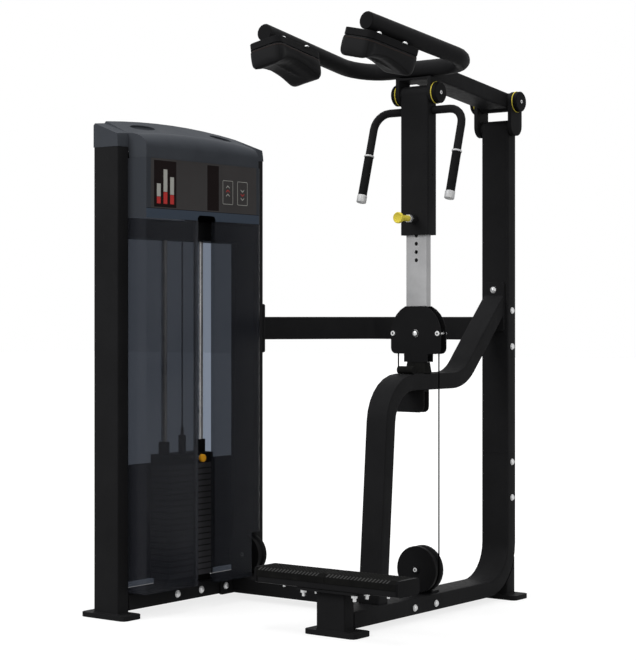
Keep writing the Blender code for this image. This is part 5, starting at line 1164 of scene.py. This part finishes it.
def add_cushions():
    material = cushion_vinyl()
    thread = seam_thread()
    welt = rubber("seam_welt", 20, 0.6)
    for side, name in ((-1, "left"), (1, "right")):
        cushion = build_cushion(side, "cushion_" + name, "shoulder_pad_" + name, material)
        add_seams(side, name, cushion, thread, welt)


# Room
WORLD_LEVEL = 0.45
FLOOR_FADE = (0.8, 3.0)  # distances between which the floor brightens to white


def add_room():
    """Pale floor that fades to white, and a white surround."""
    bpy.ops.mesh.primitive_plane_add(size=60.0)
    floor = bpy.context.object
    floor.name = "floor"
    made = Finish("floor_paint", (0.30, 0.30, 0.30), 0.9, gloss=0.1)
    far = made.node("ShaderNodeVectorMath", {0: made.place}, operation="LENGTH")
    reach = made.range(far.outputs["Value"], 0.78, 1.0, *FLOOR_FADE)
    made.feed(made.shader["Emission Strength"], made.both(made.seen(), reach))
    made.feed(made.shader["Emission Color"], (1.0, 1.0, 1.0, 1.0))
    floor.data.materials.append(made.material)

    world = bpy.data.worlds.new("studio")
    world.use_nodes = True
    scene.world = world
    background = world.node_tree.nodes["Background"].inputs
    surround = Nodes(world.node_tree)
    surround.feed(background["Color"], (1.0, 1.0, 1.0, 1.0))
    surround.feed(background["Strength"], surround.range(surround.seen(), WORLD_LEVEL, 1.0))


def add_lamp(name, place, target, size, power):
    data = bpy.data.lights.new(name, "AREA")
    data.shape = "SQUARE"
    data.size = size
    data.energy = power
    lamp = new_object(name, data)
    lamp.location = place
    lamp.rotation_euler = (Vector(target) - Vector(place)).to_track_quat("-Z", "Y").to_euler()


def add_lamps():
    """Soft studio lamps: one broad key, one fill and one from above."""
    middle = (-0.35, 0.3, 0.9)
    add_lamp("key_lamp", (-1.6, -3.6, 3.2), middle, 2.4, 100.0)
    add_lamp("fill_lamp", (3.6, -1.2, 2.0), middle, 2.4, 36.0)
    add_lamp("top_lamp", (-0.3, 0.3, 4.2), middle, 2.6, 60.0)


def add_details():
    """Cables, treads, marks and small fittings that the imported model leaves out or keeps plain."""
    add_cables(cable_coat())
    zinc = zinc_plate()
    # painted shade: dark colour for the bolt sockets, where shade falls in the recess
    socket = moulded_plastic("socket_shade", (18, 18, 19), 0.6)
    yellow = moulded_plastic("yellow_plastic", (228, 210, 82), 0.4)
    plastic = moulded_plastic("trim_plastic", (22, 22, 23), 0.46)
    light = moulded_plastic("print_light", (176, 176, 170))
    dark = moulded_plastic("print_dark", (28, 22, 22))
    red = moulded_plastic("print_red", (190, 62, 60))
    add_frame_bolts(zinc)
    add_pivot_trim(zinc, socket, yellow)
    add_handle_grips(hand_grip(), satin_cap())
    add_pull_knob(yellow, zinc)
    add_pulley_bolts(zinc, socket)
    add_pad_nuts(zinc)
    add_bar_caps(plastic)
    # painted highlight: the slope ribs get a lighter copy of the tread rubber
    add_treads(rubber("tread_rubber", 24), rubber("rib_highlight_rubber", 66, 0.6))
    add_placard_marks(light, dark, red)
    add_weld_beads(powder_coat("weld_paint", 34))
    # painted shade: a dark disc in place of the small hole in the outer post
    add_post_hole_shade(socket)
    add_back_foot(smoked_back("smoked_foot", False))


scene.view_settings.view_transform = "Standard"
clear_start_objects()
add_camera()
dress_frame()
add_details()
add_cushions()
add_room()
add_lamps()
